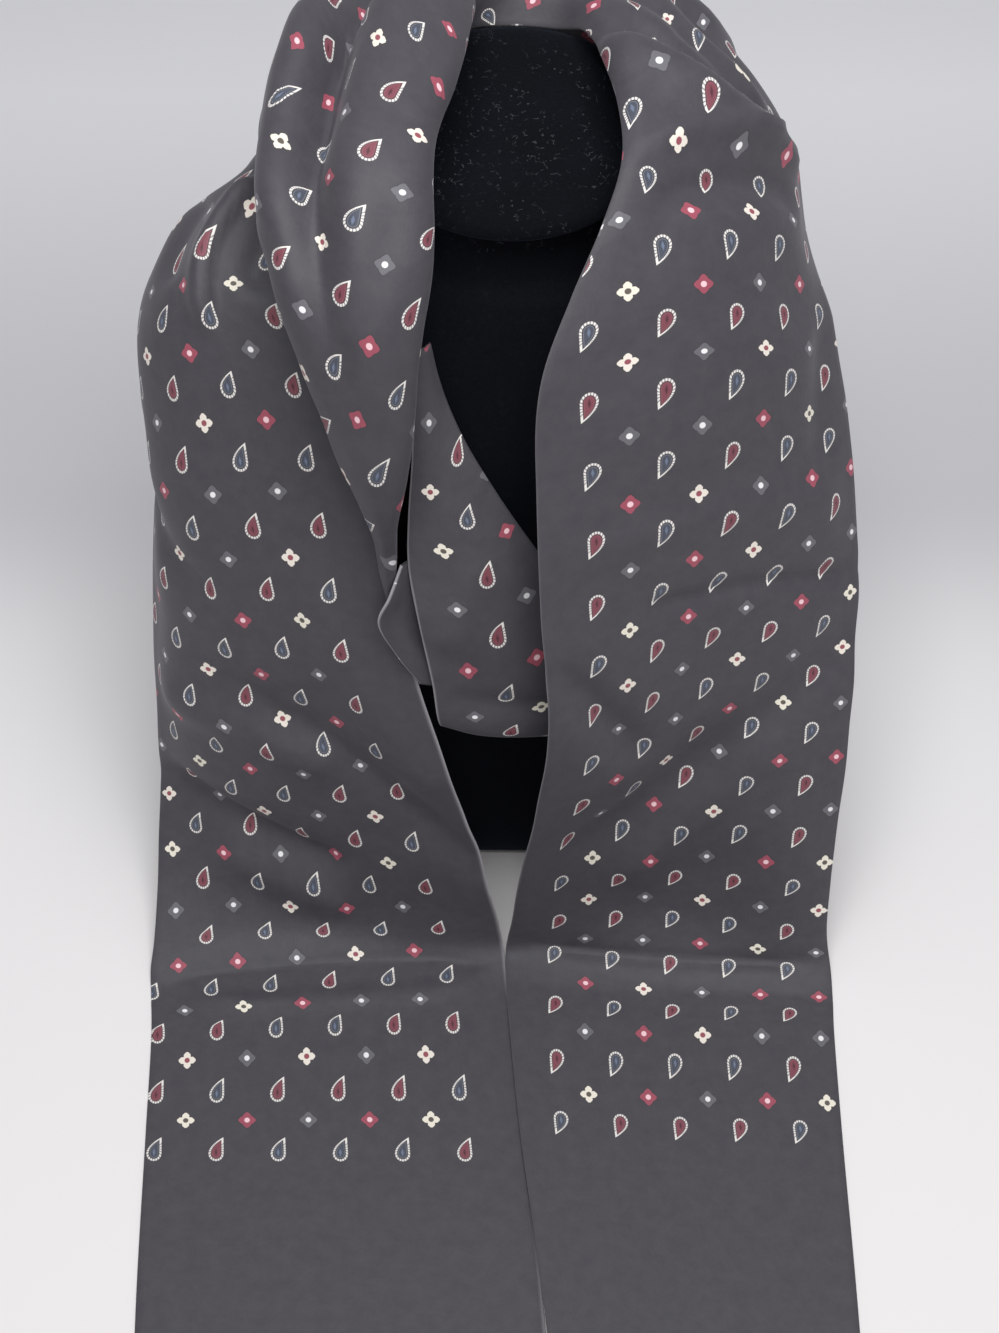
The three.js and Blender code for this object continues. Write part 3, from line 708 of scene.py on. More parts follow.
    def build(self, finish: Material) -> Piece:
        """Args:
            finish: the printed silk.

        Returns:
            The piece.
        """
        points = self.surface()
        ring, cloth, wear_and_edge_highlight = self.skin(points)
        rows, around = ring.shape[:2]
        cloth = cloth * MM
        corners = [cloth[:-1, :-1], cloth[1:, :-1], cloth[1:, 1:], cloth[:-1, 1:]]
        uv = np.stack(corners, axis=2).reshape(-1, 4, 2)
        piece = build_mesh(self.name, ring.reshape(-1, 3), grid_faces(rows, around, closed=True), uv, wear_and_edge_highlight)
        piece.data.materials.append(finish)
        wall = piece.modifiers.new("silk", "SOLIDIFY")
        wall.thickness = SILK_THICK * MM
        wall.offset = -1
        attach(piece, "root")
        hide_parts(*self.nodes)
        LOG.info("%s: %d rows of %d places", self.name, rows, around)
        return piece


# ---------------------------------------------------------------- the print
class Paisley(Enum):
    """The two paisleys: from the outline inwards, their gap, ring, core and heart."""
    R = ("583A40", "865059", "7C444F", "552E36")
    B = ("36363B", "6C6F77", "484C58", "69748A")


class Flower(Enum):
    """The four small flowers: their petals, their heart, and how deep their sides are notched."""
    GREY = ("66656A", "E9E7E8", 0.15)
    RED = ("9C4C5C", "EFC9CF", 0.2)
    CREAM = ("E9E1D6", "94505A", 0.6)
    CREAM_DARK = ("E9E3D4", "5E5850", 0.6)


# One line for each row of the repeat, and one sign for each of its four columns.
PAISLEY_CHART = ("BRRR", "RRBB", "BBRB", "RBRB", "RBBB")
FLOWER_CHART = ("2020", "0013", "1201", "0120", "3101")
REPEAT_ROWS, REPEAT_COLUMNS = 5, 4


def add(tree: Tree, kind: str, *inputs: object, **settings: object) -> bpy.types.Node:
    """Adds one node to a tree.

    Args:
        tree: the material's node tree.
        kind: the node's type.
        inputs: for its sockets in order, a value, an output to link, or None to leave it;
            or a pair of a socket's name and either of those.
        settings: attributes of the node.

    Returns:
        The node.
    """
    node = tree.nodes.new(kind)
    for name, value in settings.items():
        setattr(node, name, value)
    for number, given in enumerate(inputs):
        key, value = given if isinstance(given, tuple) and isinstance(given[0], str) else (number, given)
        if isinstance(value, Socket):
            tree.links.new(value, node.inputs[key])
        elif value is not None:
            node.inputs[key].default_value = value
    return node


def work_out(tree: Tree, known: dict[str, object],
             steps: tuple[tuple[object, ...], ...]) -> dict[str, object]:
    """Adds a chain of Math nodes.

    Args:
        tree: the material's node tree.
        known: values and outputs by name.
        steps: for each step the name of what it works out, its operation, and its inputs as
            numbers or as names of what is known.

    Returns:
        known, with each step's output by its name.
    """
    for name, operation, *terms in steps:
        inputs = [known[t] if isinstance(t, str) else float(t) for t in terms]
        known[name] = add(tree, "ShaderNodeMath", *inputs, operation=operation).outputs[0]
    return known


def masked(tree: Tree, value: object, span: Span, times: object = 1.0) -> Socket:
    """0 where value is before the span's start, 1 where it is past its end, times another value."""
    step = add(tree, "ShaderNodeMapRange", value, *span, interpolation_type="SMOOTHSTEP")
    return add(tree, "ShaderNodeMath", step.outputs[0], times, operation="MULTIPLY").outputs[0]


def over(tree: Tree, below: object, above: object, amount: object) -> Socket:
    """One colour laid over another, on the mixer's seventh and eighth sockets."""
    return add(tree, "ShaderNodeMix", amount, *[None] * 5, below, above, data_type="RGBA").outputs[2]


def fill_ramp(node: bpy.types.Node, blend: str, stops: list[tuple[float, Colour]]) -> None:
    """Sets the stops of a colour ramp, which has two of its own to start with.

    Args:
        node: the ramp's node.
        blend: how it goes from one stop to the next.
        stops: each stop's place from 0 to 1, and its colour.
    """
    ramp = node.color_ramp
    ramp.interpolation = blend
    for number, (place, colour) in enumerate(stops):
        stop = ramp.elements[number] if number < 2 else ramp.elements.new(place)
        stop.position = place
        stop.color = colour


def new_finish(name: str) -> Material:
    """A material with an empty node tree."""
    finish = bpy.data.materials.new(name)
    finish.use_nodes = True
    finish.node_tree.nodes.clear()
    return finish


@dataclass(frozen=True)
class PrintedSilk:
    """Sandwashed silk twill with a discharge print.

    To the eye it is a soft charcoal with a dull sheen, faintly mottled by the washing and
    with a fine diagonal grain, under small crisp motifs that have no gloss of their own.
    Sizes are in mm. A span is where a value starts to show and where it shows in full.
    """
    ground: str = "3F3D43"
    ground_worn: str = "48464B"
    outline: str = "E6E2DD"
    between_beads: str = "8B868A"
    ink_bled: str = "2C292D"
    # a painted highlight along the seam edge, where light would catch the turn of the cloth
    fold_highlight: str = "BDBABF"
    highlight_span: Span = (0.3, 0.95)
    highlight_share: float = 0.7
    # a paisley
    half_width: float = 2.65
    blunt: float = 2.95           # from its widest place to its round end
    tip: float = 6.3              # and to its tip
    lean: float = 0.95            # how far the tip leans to the seam side, in half widths
    needle: float = 0.04          # half width of the very tip
    rim: float = 0.72             # width of its beaded outline
    to_ring: float = 0.35         # from there in to its ring
    to_core: float = 0.6          # and to its core
    outline_span: Span = (-0.1, 0.1)
    ring_blur: float = 0.08
    bead_count: int = 22          # a few fewer than the real ones, so that they show
    bead_squash: float = 1.35     # evens the beads out on a shape that is taller than wide
    bead_span: Span = (-0.9, 0.1)     # of the beads' cosine
    joined_span: Span = (0.6, 0.75)   # of the way to the tip, where the beads run together
    dash_half: float = 0.55       # half width of its heart, a dash
    dash_up: float = 0.5          # from its widest place to the dash's middle
    dash_slope: float = 0.32      # how fast the dash narrows
    dash_span: Span = (-0.1, 0.2)
    # a flower
    point: float = 3.45           # from its middle to its points
    blunted: float = 0.35         # what its points are short of that
    side_slope: float = 0.7       # distance in from a side that runs aslant
    notch_width: float = 0.6
    dot: float = 0.95             # half width of its heart
    petal_span: Span = (-0.1, 0.12)
    dot_span: Span = (-0.15, 0.12)
    bled_span: Span = (-0.55, 0.1)
    bled_share: float = 0.35
    # the silk's own marks
    mottle_size: float = 6.25
    mottle_span: Span = (0.3, 0.72)
    grain_pitch: float = 0.8      # twice the real one, so that it shows
    grain_length: float = 3.846
    grain_turn: float = radians(45)

    def motif_places(self, tree: Tree) -> dict[str, object]:
        """Where each point lies in its paisley's cell and in its flower's cell, in mm.

        Args:
            tree: the material's node tree.

        Returns:
            The outputs by name: px and py from a paisley's widest place, fx and fy from a
            flower's middle, always positive, the rows and columns of both, and the cloth's uv.
        """
        place = add(tree, "ShaderNodeUVMap", uv_map="cloth")
        cloth = add(tree, "ShaderNodeSeparateXYZ", place.outputs[0])
        known = {"x": cloth.outputs[0], "y": cloth.outputs[1], "uv": place.outputs[0]}
        return work_out(tree, known, (
            ("u", "MULTIPLY", "x", 1 / MM),
            ("v", "MULTIPLY", "y", 1 / MM),
            ("from_first", "SUBTRACT", "u", FIRST_COLUMN),
            ("column", "DIVIDE", "from_first", COLUMN_PITCH),
            ("row", "DIVIDE", "v", ROW_PITCH),
            ("paisley_column", "ROUND", "column"),
            ("paisley_row", "ROUND", "row"),
            ("paisley_off", "SUBTRACT", "column", "paisley_column"),
            ("paisley_up", "SUBTRACT", "row", "paisley_row"),
            ("px", "MULTIPLY", "paisley_off", COLUMN_PITCH),
            ("py", "MULTIPLY_ADD", "paisley_up", ROW_PITCH, (self.tip - self.blunt) / 2),
            ("flower_column", "FLOOR", "column"),
            ("flower_row", "FLOOR", "row"),
            ("flower_off", "FRACT", "column"),
            ("flower_up", "FRACT", "row"),
            ("from_middle", "SUBTRACT", "flower_off", 0.5),
            ("from_centre", "SUBTRACT", "flower_up", 0.5),
            ("sideways", "ABSOLUTE", "from_middle"),
            ("upwards", "ABSOLUTE", "from_centre"),
            ("fx", "MULTIPLY", "sideways", COLUMN_PITCH),
            ("fy", "MULTIPLY", "upwards", ROW_PITCH),
        ))

    def within(self, tree: Tree, known: dict[str, object], motif: str, rows: int) -> Socket:
        """1 where a motif's cell is one of the printed ones, and 0 in the plain margins.

        Args:
            tree: the material's node tree.
            known: with the motif's row and column.
            motif: "paisley" or "flower".
            rows: the motif's rows from row 0 on.

        Returns:
            The 1 or 0.
        """
        return work_out(tree, known, (
            ("near", "GREATER_THAN", motif + "_column", -0.5),
            ("far", "LESS_THAN", motif + "_column", COLUMNS - 0.5),
            ("after", "GREATER_THAN", motif + "_row", FIRST_ROW - 0.5),
            ("before", "LESS_THAN", motif + "_row", rows - 0.5),
            ("wide", "MULTIPLY", "near", "far"),
            ("long", "MULTIPLY", "after", "before"),
            ("printed", "MULTIPLY", "wide", "long"),
        ))["printed"]

    def chart(self, tree: Tree, known: dict[str, object], motif: str,
              colours: list[Colour]) -> bpy.types.Node:
        """Looks a colour up by a motif's row and column in the repeat.

        Args:
            tree: the material's node tree.
            known: with the motif's row and column.
            motif: "paisley" or "flower".
            colours: one for each place of the repeat, row by row.

        Returns:
            The ramp, whose outputs are the colour and its alpha.
        """
        work_out(tree, known, (
            ("r", "FLOORED_MODULO", motif + "_row", REPEAT_ROWS),
            ("c", "FLOORED_MODULO", motif + "_column", REPEAT_COLUMNS),
            ("n", "MULTIPLY_ADD", "r", REPEAT_COLUMNS, "c"),
            ("at", "MULTIPLY_ADD", "n", 1 / len(colours), 0.5 / len(colours)),
        ))
        node = add(tree, "ShaderNodeValToRGB", known["at"])
        stops = [(number / len(colours), colour) for number, colour in enumerate(colours)]
        fill_ramp(node, "CONSTANT", stops)
        return node

    def paisleys(self, tree: Tree, known: dict[str, object], ground: Socket) -> Socket:
        """Lays the paisleys over the ground.

        A paisley is a teardrop whose tip leans to the seam side. With s the share of the way
        to the tip, its half width is half_width x (1 - s^2) and its middle line lies at
        -lean x half_width x s^2; below its widest place it is half an ellipse. inside is the
        distance in from the outline, less a cell's width past the tip. The beads are a cosine
        of the angle round the middle, and run together at the tip.

        Args:
            tree: the material's node tree.
            known: with the place in the paisley's cell.
            ground: the plain silk's colour.

        Returns:
            The colour of the silk with its paisleys.
        """
        work_out(tree, known, (
            ("to_tip", "DIVIDE", "py", self.tip),
            ("s1", "MINIMUM", "to_tip", 1.0),
            ("s", "MAXIMUM", "s1", 0.0),
            ("ss", "MULTIPLY", "s", "s"),
            ("taper", "MULTIPLY_ADD", "ss", -self.half_width, self.half_width),
            ("half", "MAXIMUM", "taper", self.needle),
            ("off_middle", "MULTIPLY_ADD", "ss", self.lean * self.half_width, "px"),
            ("aside", "DIVIDE", "off_middle", "half"),
            ("below", "MINIMUM", "py", 0.0),
            ("under", "DIVIDE", "below", self.blunt),
            ("aside2", "MULTIPLY", "aside", "aside"),
            ("both2", "MULTIPLY_ADD", "under", "under", "aside2"),
            ("reach", "SQRT", "both2"),
            ("short", "SUBTRACT", 1.0, "reach"),
            ("past", "GREATER_THAN", "to_tip", 1.0),
            ("depth", "MULTIPLY", "short", "half"),
            ("inside", "MULTIPLY_ADD", "past", -COLUMN_PITCH, "depth"),
            ("wider", "MULTIPLY", "px", self.bead_squash),
            ("higher", "SUBTRACT", "py", (self.tip - self.blunt) / 2),
            ("angle", "ARCTAN2", "wider", "higher"),
            ("turned", "MULTIPLY", "angle", self.bead_count),
            ("bead", "COSINE", "turned"),
            ("dash_x", "ABSOLUTE", "px"),
            ("dash_y0", "SUBTRACT", "py", self.dash_up),
            ("dash_y", "ABSOLUTE", "dash_y0"),
            ("dash", "MULTIPLY_ADD", "dash_y", self.dash_slope, "dash_x"),
            ("in_dash", "SUBTRACT", self.dash_half, "dash"),
        ))
        signs = [sign for line in PAISLEY_CHART for sign in line]
        blue = self.chart(tree, known, "paisley", [(float(s == "B"),) * 3 + (1.0,) for s in signs])
        printed = self.within(tree, known, "paisley", LAST_ROW + 1)
        shown = add(tree, "ShaderNodeMath", masked(tree, known["bead"], self.bead_span),
                    masked(tree, known["to_tip"], self.joined_span), operation="MAXIMUM")
        rim = over(tree, linear(self.between_beads), linear(self.outline), shown.outputs[0])
        colour = over(tree, ground, rim, masked(tree, known["inside"], self.outline_span, printed))
        *layers, heart = (over(tree, linear(red), linear(blue_one), blue.outputs[0])
                          for red, blue_one in zip(Paisley.R.value, Paisley.B.value))
        for layer, further in zip(layers, (0, self.to_ring, self.to_core)):
            start = self.rim + further
            span = (start - self.ring_blur, start + self.ring_blur)
            colour = over(tree, colour, layer, masked(tree, known["inside"], span, printed))
        return over(tree, colour, heart, masked(tree, known["in_dash"], self.dash_span, printed))

    def flowers(self, tree: Tree, known: dict[str, object], ground: Socket) -> Socket:
        """Lays the flowers over the rest, with x and y the distances from a flower's middle.

        A flower is the square side_slope x (point - x - y), with its tips blunted by the
        greater of x and y, and notched at the middle of each side by
        exp(-((x - y) / notch_width)^2) times its depth. Its heart is round.

        Args:
            tree: the material's node tree.
            known: with the place in the flower's cell.
            ground: the colour under the flowers.

        Returns:
            The colour with its flowers.
        """
        work_out(tree, known, (
            ("sum", "ADD", "fx", "fy"),
            ("square", "MULTIPLY_ADD", "sum", -self.side_slope, self.side_slope * self.point),
            ("greater", "MAXIMUM", "fx", "fy"),
            ("ends", "SUBTRACT", self.point - self.blunted, "greater"),
            ("body", "MINIMUM", "square", "ends"),
            ("skew", "SUBTRACT", "fx", "fy"),
            ("skew1", "DIVIDE", "skew", self.notch_width),
            ("skew2", "MULTIPLY", "skew1", "skew1"),
            ("fade", "MULTIPLY", "skew2", -1.0),
            ("notch", "EXPONENT", "fade"),
            ("fx2", "MULTIPLY", "fx", "fx"),
            ("centre2", "MULTIPLY_ADD", "fy", "fy", "fx2"),
            ("centre", "SQRT", "centre2"),
            ("heart", "SUBTRACT", self.dot, "centre"),
        ))
        kinds = [list(Flower)[int(sign)].value for line in FLOWER_CHART for sign in line]
        petals = self.chart(tree, known, "flower", [(*linear(p)[:3], notch) for p, _, notch in kinds])
        dots = self.chart(tree, known, "flower", [linear(dot) for _, dot, _ in kinds])
        cut = add(tree, "ShaderNodeMath", known["notch"], petals.outputs[1], operation="MULTIPLY")
        shape = add(tree, "ShaderNodeMath", known["body"], cut.outputs[0], operation="SUBTRACT").outputs[0]
        printed = self.within(tree, known, "flower", LAST_ROW)
        bled = add(tree, "ShaderNodeMath", printed, self.bled_share, operation="MULTIPLY").outputs[0]
        colour = over(tree, ground, linear(self.ink_bled), masked(tree, shape, self.bled_span, bled))
        colour = over(tree, colour, petals.outputs[0], masked(tree, shape, self.petal_span, printed))
        return over(tree, colour, dots.outputs[0], masked(tree, known["heart"], self.dot_span, printed))

    def build(self) -> Material:
        """The printed silk's material: print over mottled ground, a painted highlight on the seam edges,
        grain and sheen.
        """
        finish = new_finish("sandwashed_silk_twill_printed")
        tree = finish.node_tree
        known = self.motif_places(tree)
        mottle = add(tree, "ShaderNodeTexNoise", ("Vector", known["uv"]),
                     ("Scale", per_metre(self.mottle_size)), ("Detail", 5.0), ("Roughness", 0.7))
        wear_and_edge_highlight = add(tree, "ShaderNodeMapRange", mottle.outputs[0], *self.mottle_span)
        colour = over(tree, linear(self.ground), linear(self.ground_worn), wear_and_edge_highlight.outputs[0])
        colour = self.flowers(tree, known, self.paisleys(tree, known, colour))
        # A painted highlight along the seam edges, as strong as the edge attribute says.
        edge = add(tree, "ShaderNodeAttribute", attribute_name="edge")
        edge_highlight = masked(tree, edge.outputs["Fac"], self.highlight_span, self.highlight_share)
        colour = over(tree, colour, linear(self.fold_highlight), edge_highlight)
        # The twill's grain is fine noise drawn out along the diagonal.
        slanted = add(tree, "ShaderNodeMapping", known["uv"], ("Rotation", (0, 0, self.grain_turn)),
                      ("Scale", (per_metre(self.grain_pitch), per_metre(self.grain_length), 1)))
        grain = add(tree, "ShaderNodeTexNoise", ("Vector", slanted.outputs[0]), ("Scale", 1.0),
                    ("Detail", 2.0))
        bump = add(tree, "ShaderNodeBump", ("Height", grain.outputs[0]), ("Strength", 0.18),
                   ("Distance", 0.3 * MM))
        bump = add(tree, "ShaderNodeBump", ("Height", mottle.outputs[0]), ("Strength", 0.2),
                   ("Distance", 0.7 * MM), ("Normal", bump.outputs[0]))
        surface = add(tree, "ShaderNodeBsdfPrincipled", ("Base Color", colour),
                      ("Roughness", 0.6), ("IOR", 1.54), ("Specular IOR Level", 0.35),
                      ("Sheen Weight", 0.16), ("Sheen Roughness", 0.45),
                      ("Sheen Tint", linear("D6D2DA")), ("Normal", bump.outputs[0]))
        add(tree, "ShaderNodeOutputMaterial", surface.outputs[0])
        return finish


# ---------------------------------------------------------------- the bust
BUST_RINGS = (
    # z, half width, reach to the front, reach to the back, squareness, share of the tilt
    (0, 70, 61, 50, 2.6, 0),
    (5, 73, 64, 53, 2.6, 0),
    (40, 77, 66, 56, 2.6, 0),
    (90, 84, 68, 58, 2.6, 0),
    (140, 91, 69, 63, 2.5, 0),
    (180, 97, 66, 66, 2.4, 0),
    (208, 100, 59, 66, 2.3, 0),
    (228, 98, 51, 63, 2.2, 0),
    (241, 91, 44, 60, 2.1, 0),
    (250, 80, 39, 56, 2.0, 0.1),
    (256, 67, 36, 53, 2.0, 0.3),
    (261.1, 55, 33, 51, 2.0, 0.6),
    (267.4, 46, 30, 50, 2.0, 0.9),
    (275.6, 43, 28, 50, 2.0, 1),
    (283.6, 43, 28, 51.5, 2.0, 1),
)
CAP_PROFILE = ((3.2, 0), (0.8, 1), (0, 3), (0.8, 5), (3.2, 6))    # inset and height
END_RINGS = (0.0, 0.35, 0.7, 0.93)    # of the last ring's size, from a point outwards


@dataclass
class Bust:
    """The limbless display bust: a flat-based torso and an oval neck cap above it."""
    tilt: float = radians(13)     # of the neck, to the front
    overhang: float = 4.5         # how far the cap stands out past the neck
    around: int = 144             # places round a ring
    finer: int = 7                # rings of the mesh for each one of the table
    cap_rings: int = 25           # rings of the cap's mesh
    merge: float = 0.001          # mm, points nearer than this are one

    def rings(self, table: np.ndarray) -> np.ndarray:
        """Oval rings from a table.

        Round a ring x = half x cos^(2/square) and y = depth x sin^(2/square), and the ring
        slopes to the front by its share of the neck's tilt.

        Args:
            table: its columns are BUST_RINGS' ones.

        Returns:
            The rings, each a row of points.
        """
        z, half, front, back, square, share = (table[:, [k]] for k in range(6))
        angle = np.linspace(0, 2 * pi, self.around, endpoint=False)[None]
        centre, depth = (back - front) / 2, (back + front) / 2

        def rounded(v: np.ndarray) -> np.ndarray:
            """v to the power of 2/square, with v's sign."""
            return np.sign(v) * np.abs(v) ** (2 / square)

        x = half * rounded(np.cos(angle))
        y = centre + depth * rounded(np.sin(angle))
        return np.stack([x, y, z + (y - centre) * np.tan(self.tilt * share)], axis=-1)

    def solid(self, name: str, rings: np.ndarray, finish: Material) -> Piece:
        """Skins a stack of rings, with its two ends closed by rings that shrink to a point.

        Args:
            name: the piece's name.
            rings: the stack from the foot up, each a row of points.
            finish: the velvet.

        Returns:
            The piece.
        """
        centres = rings.mean(axis=1, keepdims=True)
        shrink = np.array(END_RINGS)[:, None, None]
        foot = centres[0] + (rings[0][None] - centres[0]) * shrink
        crown = centres[-1] + (rings[-1][None] - centres[-1]) * shrink[::-1]
        stack = np.concatenate([foot, rings, crown])
        faces = grid_faces(len(stack), self.around, closed=True)[:, ::-1]
        piece = build_mesh(name, stack.reshape(-1, 3), faces)
        piece.data.materials.append(finish)
        weld = piece.modifiers.new("poles", "WELD")
        weld.merge_threshold = self.merge * MM
        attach(piece, "root")
        return piece

    def build(self, finish: Material) -> None:
        """Builds the torso and the neck cap.

        Args:
            finish: the velvet.
        """
        table = np.array(BUST_RINGS, float)
        places = np.linspace(0, len(table) - 1, self.finer * (len(table) - 1) + 1)
        torso = self.solid("velvet_torso", self.rings(smooth_run(table, places)), finish)
        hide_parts("bust_torso")
        places = np.linspace(0, len(CAP_PROFILE) - 1, self.cap_rings)
        inset, up = smooth_run(np.array(CAP_PROFILE, float), places).T
        cap = np.repeat(table[-1:], len(up), axis=0)
        cap[:, 0] += SEAM_GAP + up
        cap[:, 1:4] += (self.overhang - inset)[:, None]
        piece = self.solid("velvet_neck_cap", self.rings(cap), finish)
        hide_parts("bust_neck_cap")
        LOG.info("velvet_torso and velvet_neck_cap: %d places round", self.around)


@dataclass(frozen=True)
class Velvet:
    """Short-piled cotton velvet.

    To the eye it is almost black, with a faint blue bloom where the pile is seen from the
    side, brushed into slightly lighter and darker places. Pale lint settles on its upper
    surfaces, in patches: specks in one small cell in six, and short fibres, which are pieces
    of the bent borders between larger cells. Sizes are in mm.
    """
    pile_dark: str = "030406"
    pile_light: str = "090B11"
    pile_size: float = 1.111          # the tufts, coarser than the real ones, so that they show
    brushed_size: float = 35.71       # the brushed places
    tone_span: Span = (0.12, 0.42)
    lint: str = "6E7178"
    lint_share: float = 0.25
    lint_heights: Span = (262.0, 274.0)    # where lint starts to settle, and where it all does
    lint_below: float = 0.08          # its share lower down
    patch_size: float = 14.29
    patch_span: Span = (0.36, 0.62)
    speck_cell: float = 1.786
    speck_lot: Span = (0.80, 0.86)    # of each cell's own number from 0 to 1
    speck_span: Span = (0.26, 0.1)    # half width, in cells
    fibre_cell: float = 3.333
    fibre_span: Span = (0.05, 0.015)  # half width, in cells
    bend_size: float = 3.846          # the waves that bend the fibres
    bend_reach: float = 5.0
    piece_size: float = 2.381         # the pieces that the fibres are broken into
    piece_span: Span = (0.56, 0.62)

    def dusted(self, tree: Tree, where: Socket) -> Socket:
        """How much lint shows at each point.

        Args:
            tree: the material's node tree.
            where: the point's place on the object, in metres.

        Returns:
            The share, from 0 to lint_share.
        """
        height = add(tree, "ShaderNodeSeparateXYZ", where)
        start, full = (z * MM for z in self.lint_heights)
        settled = add(tree, "ShaderNodeMapRange", height.outputs[2], start, full, self.lint_below, 1.0)
        patches = add(tree, "ShaderNodeTexNoise", ("Vector", where), ("Scale", per_metre(self.patch_size)))
        amount = masked(tree, patches.outputs[0], self.patch_span, settled.outputs[0])
        cells = add(tree, "ShaderNodeTexVoronoi", ("Vector", where), ("Scale", per_metre(self.speck_cell)))
        lot = add(tree, "ShaderNodeSeparateColor", cells.outputs["Color"])
        chosen = masked(tree, lot.outputs[0], self.speck_lot, amount)
        specks = masked(tree, cells.outputs["Distance"], self.speck_span, chosen)
        bend = add(tree, "ShaderNodeTexNoise", ("Vector", where), ("Scale", per_metre(self.bend_size)))
        bent = add(tree, "ShaderNodeVectorMath", bend.outputs["Color"], (self.bend_reach * MM,) * 3, where,
                   operation="MULTIPLY_ADD")
        borders = add(tree, "ShaderNodeTexVoronoi", ("Vector", bent.outputs[0]),
                      ("Scale", per_metre(self.fibre_cell)), feature="DISTANCE_TO_EDGE")
        pieces = add(tree, "ShaderNodeTexNoise", ("Vector", where), ("Scale", per_metre(self.piece_size)))
        kept = masked(tree, pieces.outputs[0], self.piece_span, amount)
        fibres = masked(tree, borders.outputs["Distance"], self.fibre_span, kept)
        lint = add(tree, "ShaderNodeMath", specks, fibres, operation="MAXIMUM").outputs[0]
        return add(tree, "ShaderNodeMath", lint, self.lint_share, operation="MULTIPLY").outputs[0]

    def build(self) -> Material:
        """The velvet's material: brushed pile, with lint over it."""
        finish = new_finish("cotton_velvet_black")
        tree = finish.node_tree
        where = add(tree, "ShaderNodeTexCoord").outputs["Object"]
        pile = add(tree, "ShaderNodeTexNoise", ("Vector", where), ("Scale", per_metre(self.pile_size)),
                   ("Detail", 3.0))
        brushed = add(tree, "ShaderNodeTexNoise", ("Vector", where),
                      ("Scale", per_metre(self.brushed_size)), ("Detail", 2.0))
        shade = add(tree, "ShaderNodeMath", pile.outputs[0], brushed.outputs[0], operation="MULTIPLY")
        tone = add(tree, "ShaderNodeMapRange", shade.outputs[0], *self.tone_span)
        colour = over(tree, linear(self.pile_dark), linear(self.pile_light), tone.outputs[0])
        colour = over(tree, colour, linear(self.lint), self.dusted(tree, where))
        bump = add(tree, "ShaderNodeBump", ("Height", pile.outputs[0]), ("Strength", 0.3),
                   ("Distance", 0.6 * MM))
        surface = add(tree, "ShaderNodeBsdfPrincipled", ("Base Color", colour),
                      ("Roughness", 0.9), ("Specular IOR Level", 0.1),
                      ("Sheen Weight", 0.12), ("Sheen Roughness", 0.5),
                      ("Sheen Tint", linear("9FB0D0")), ("Normal", bump.outputs[0]))
        add(tree, "ShaderNodeOutputMaterial", surface.outputs[0])
        return finish


# ---------------------------------------------------------------- the studio
@dataclass(frozen=True)
class Lamp:
    """A square soft lamp: its place in metres, its turn in degrees, its side and its watts."""
    name: str
    place: Point
    turn: Point
    size: float
    power: float

    def build(self) -> None:
        """Hangs the lamp."""
        data = bpy.data.lights.new(self.name, "AREA")
        data.size = self.size
        data.energy = self.power
        lamp = bpy.data.objects.new(self.name, data)
        lamp.location = self.place
        lamp.rotation_euler = [radians(angle) for angle in self.turn]
        bpy.context.scene.collection.objects.link(lamp)


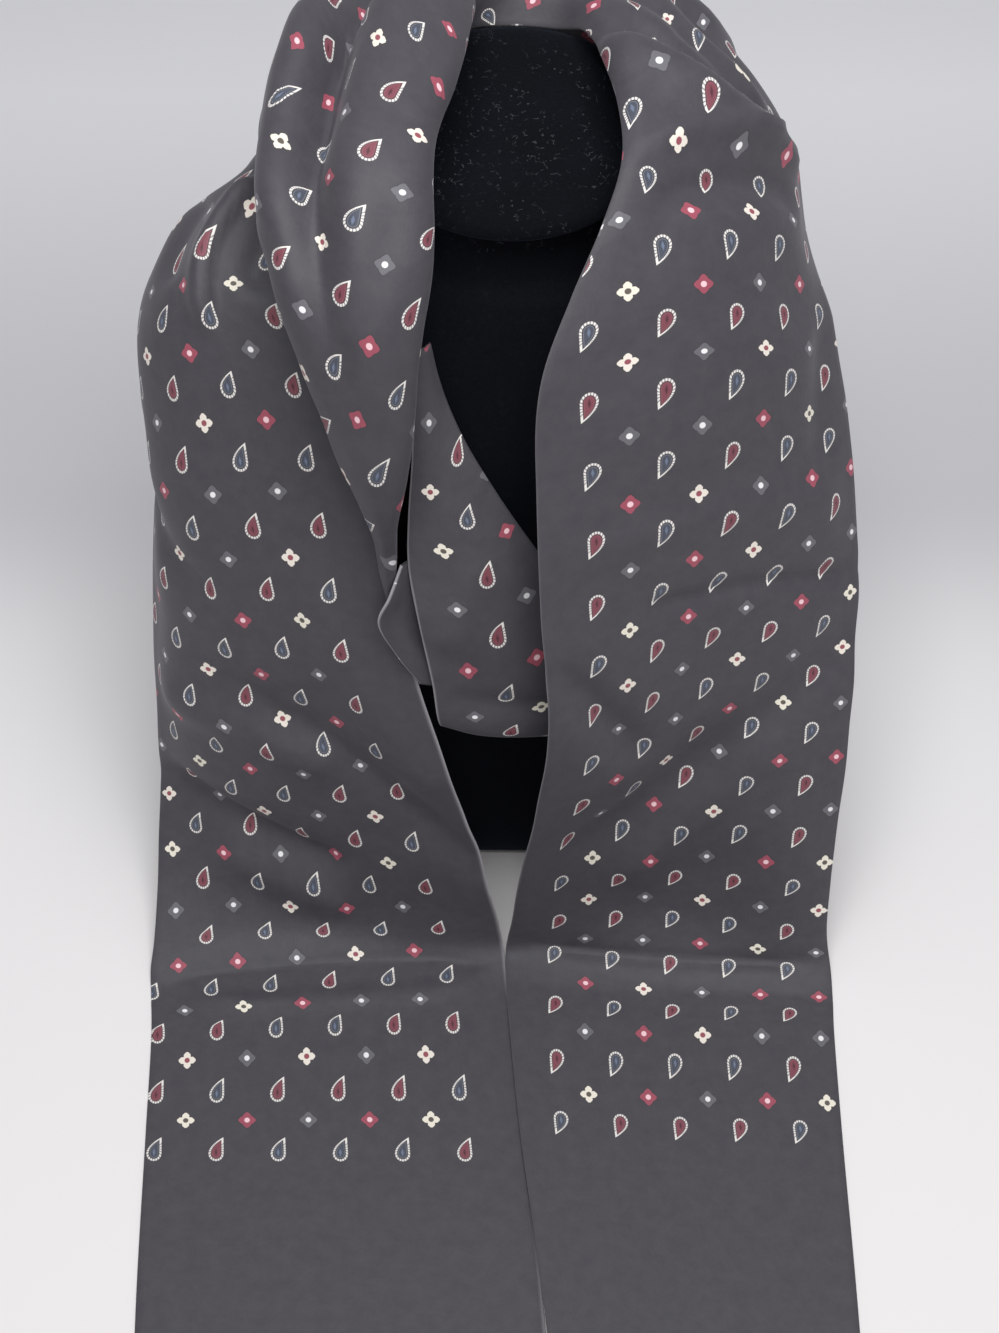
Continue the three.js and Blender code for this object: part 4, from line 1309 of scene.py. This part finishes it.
@dataclass(frozen=True)
class Studio:
    """A plain pale table, soft light from above, and the camera that looks down at the bust.

    Places are in metres. The table top's colours carry painted shade: a grey band behind the
    bust, and a lighter far end. Each colour has its share of the way from the front of their
    span to its back.
    """
    eye: Point = (-0.004, -0.556, 0.650)
    lens: float = 54.4
    sensor: float = 36.0
    nearest: float = 0.01
    tilt: float = radians(42.5)
    table_side: float = 4.0
    # the table top's painted shade: a grey band behind the bust, lighter again further back
    shade_ends: Span = (-0.3, 0.5)
    painted_shades: tuple[tuple[float, str], ...] = (
        (0.0, "E9E6E5"), (0.3, "E9E7E7"), (0.45, "E6E5E7"), (0.58, "AEAEB1"), (1.0, "FDFDFF"))
    surround: str = "E6E7EC"
    surround_strength: float = 0.42
    lamps: tuple[Lamp, ...] = (
        Lamp("overhead", (0.03, -0.27, 1.15), (14, 2, 0), 0.6, 8.8),
        Lamp("front", (0.3, -1.7, 1.25), (57, 0, 10), 1.2, 9.5))

    def camera(self) -> None:
        """The camera, and colours shown as they are."""
        data = bpy.data.cameras.new("camera")
        data.lens = self.lens
        data.sensor_width = self.sensor
        data.clip_start = self.nearest
        eye = bpy.data.objects.new("camera", data)
        eye.location = self.eye
        eye.rotation_euler = (self.tilt, 0, 0)
        bpy.context.scene.collection.objects.link(eye)
        bpy.context.scene.camera = eye
        bpy.context.scene.view_settings.view_transform = "Standard"

    def table(self) -> None:
        """The table top, matt white laminate, with painted shade that falls off to a soft grey behind the
        bust.
        """
        size = self.table_side / MM / 2
        corners = np.array([(-size, -size, 0), (size, -size, 0), (size, size, 0), (-size, size, 0)])
        floor = build_mesh("table_top", corners, np.array([[0, 1, 2, 3]]))
        finish = new_finish("matt_white_laminate_painted_shade")
        tree = finish.node_tree
        place = add(tree, "ShaderNodeSeparateXYZ", add(tree, "ShaderNodeTexCoord").outputs["Object"])
        # Painted shade on the table top, by the distance back from its front.
        back = add(tree, "ShaderNodeMapRange", place.outputs[1], *self.shade_ends)
        shade = add(tree, "ShaderNodeValToRGB", back.outputs[0])
        fill_ramp(shade, "B_SPLINE", [(at, linear(colour)) for at, colour in self.painted_shades])
        surface = add(tree, "ShaderNodeBsdfPrincipled", ("Base Color", shade.outputs[0]), ("Roughness", 0.7))
        add(tree, "ShaderNodeOutputMaterial", surface.outputs[0])
        floor.data.materials.append(finish)

    def build(self) -> None:
        """The camera, the table, an even grey surround and the lamps."""
        self.camera()
        self.table()
        world = bpy.data.worlds.new("surround")
        world.use_nodes = True
        backdrop = world.node_tree.nodes["Background"]
        backdrop.inputs["Color"].default_value = linear(self.surround)
        backdrop.inputs["Strength"].default_value = self.surround_strength
        bpy.context.scene.world = world
        for lamp in self.lamps:
            lamp.build()


def main() -> None:
    """Builds the studio, the bust and the scarf in order."""
    logging.basicConfig(level=logging.INFO)
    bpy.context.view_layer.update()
    Studio().build()
    Bust().build(Velvet().build())
    silk = PrintedSilk().build()
    ClothRun("scarf_left_run", ("end_left", "hang_left", "shoulder_left", "neck_back_inner",
                                "loop_right", "loop_front"),
             FIRST_RUN, FIRST_CREASES, (True, False), ("velvet_torso",)).build(silk)
    ClothRun("scarf_right_run", ("loop_left", "neck_back_outer", "shoulder_right", "hang_right",
                                 "end_right"),
             SECOND_RUN, SECOND_CREASES, (False, True), ("velvet_torso", "scarf_left_run"),
             highlight_strength=0.6).build(silk)
    ClothRun("scarf_foot_flap", ("loop_flap",), FLAP_RUN, rests_on=("scarf_left_run",), held="folded",
             columns=21, step=1.5, swell=0.2).build(silk)


if __name__ == "__main__":
    main()
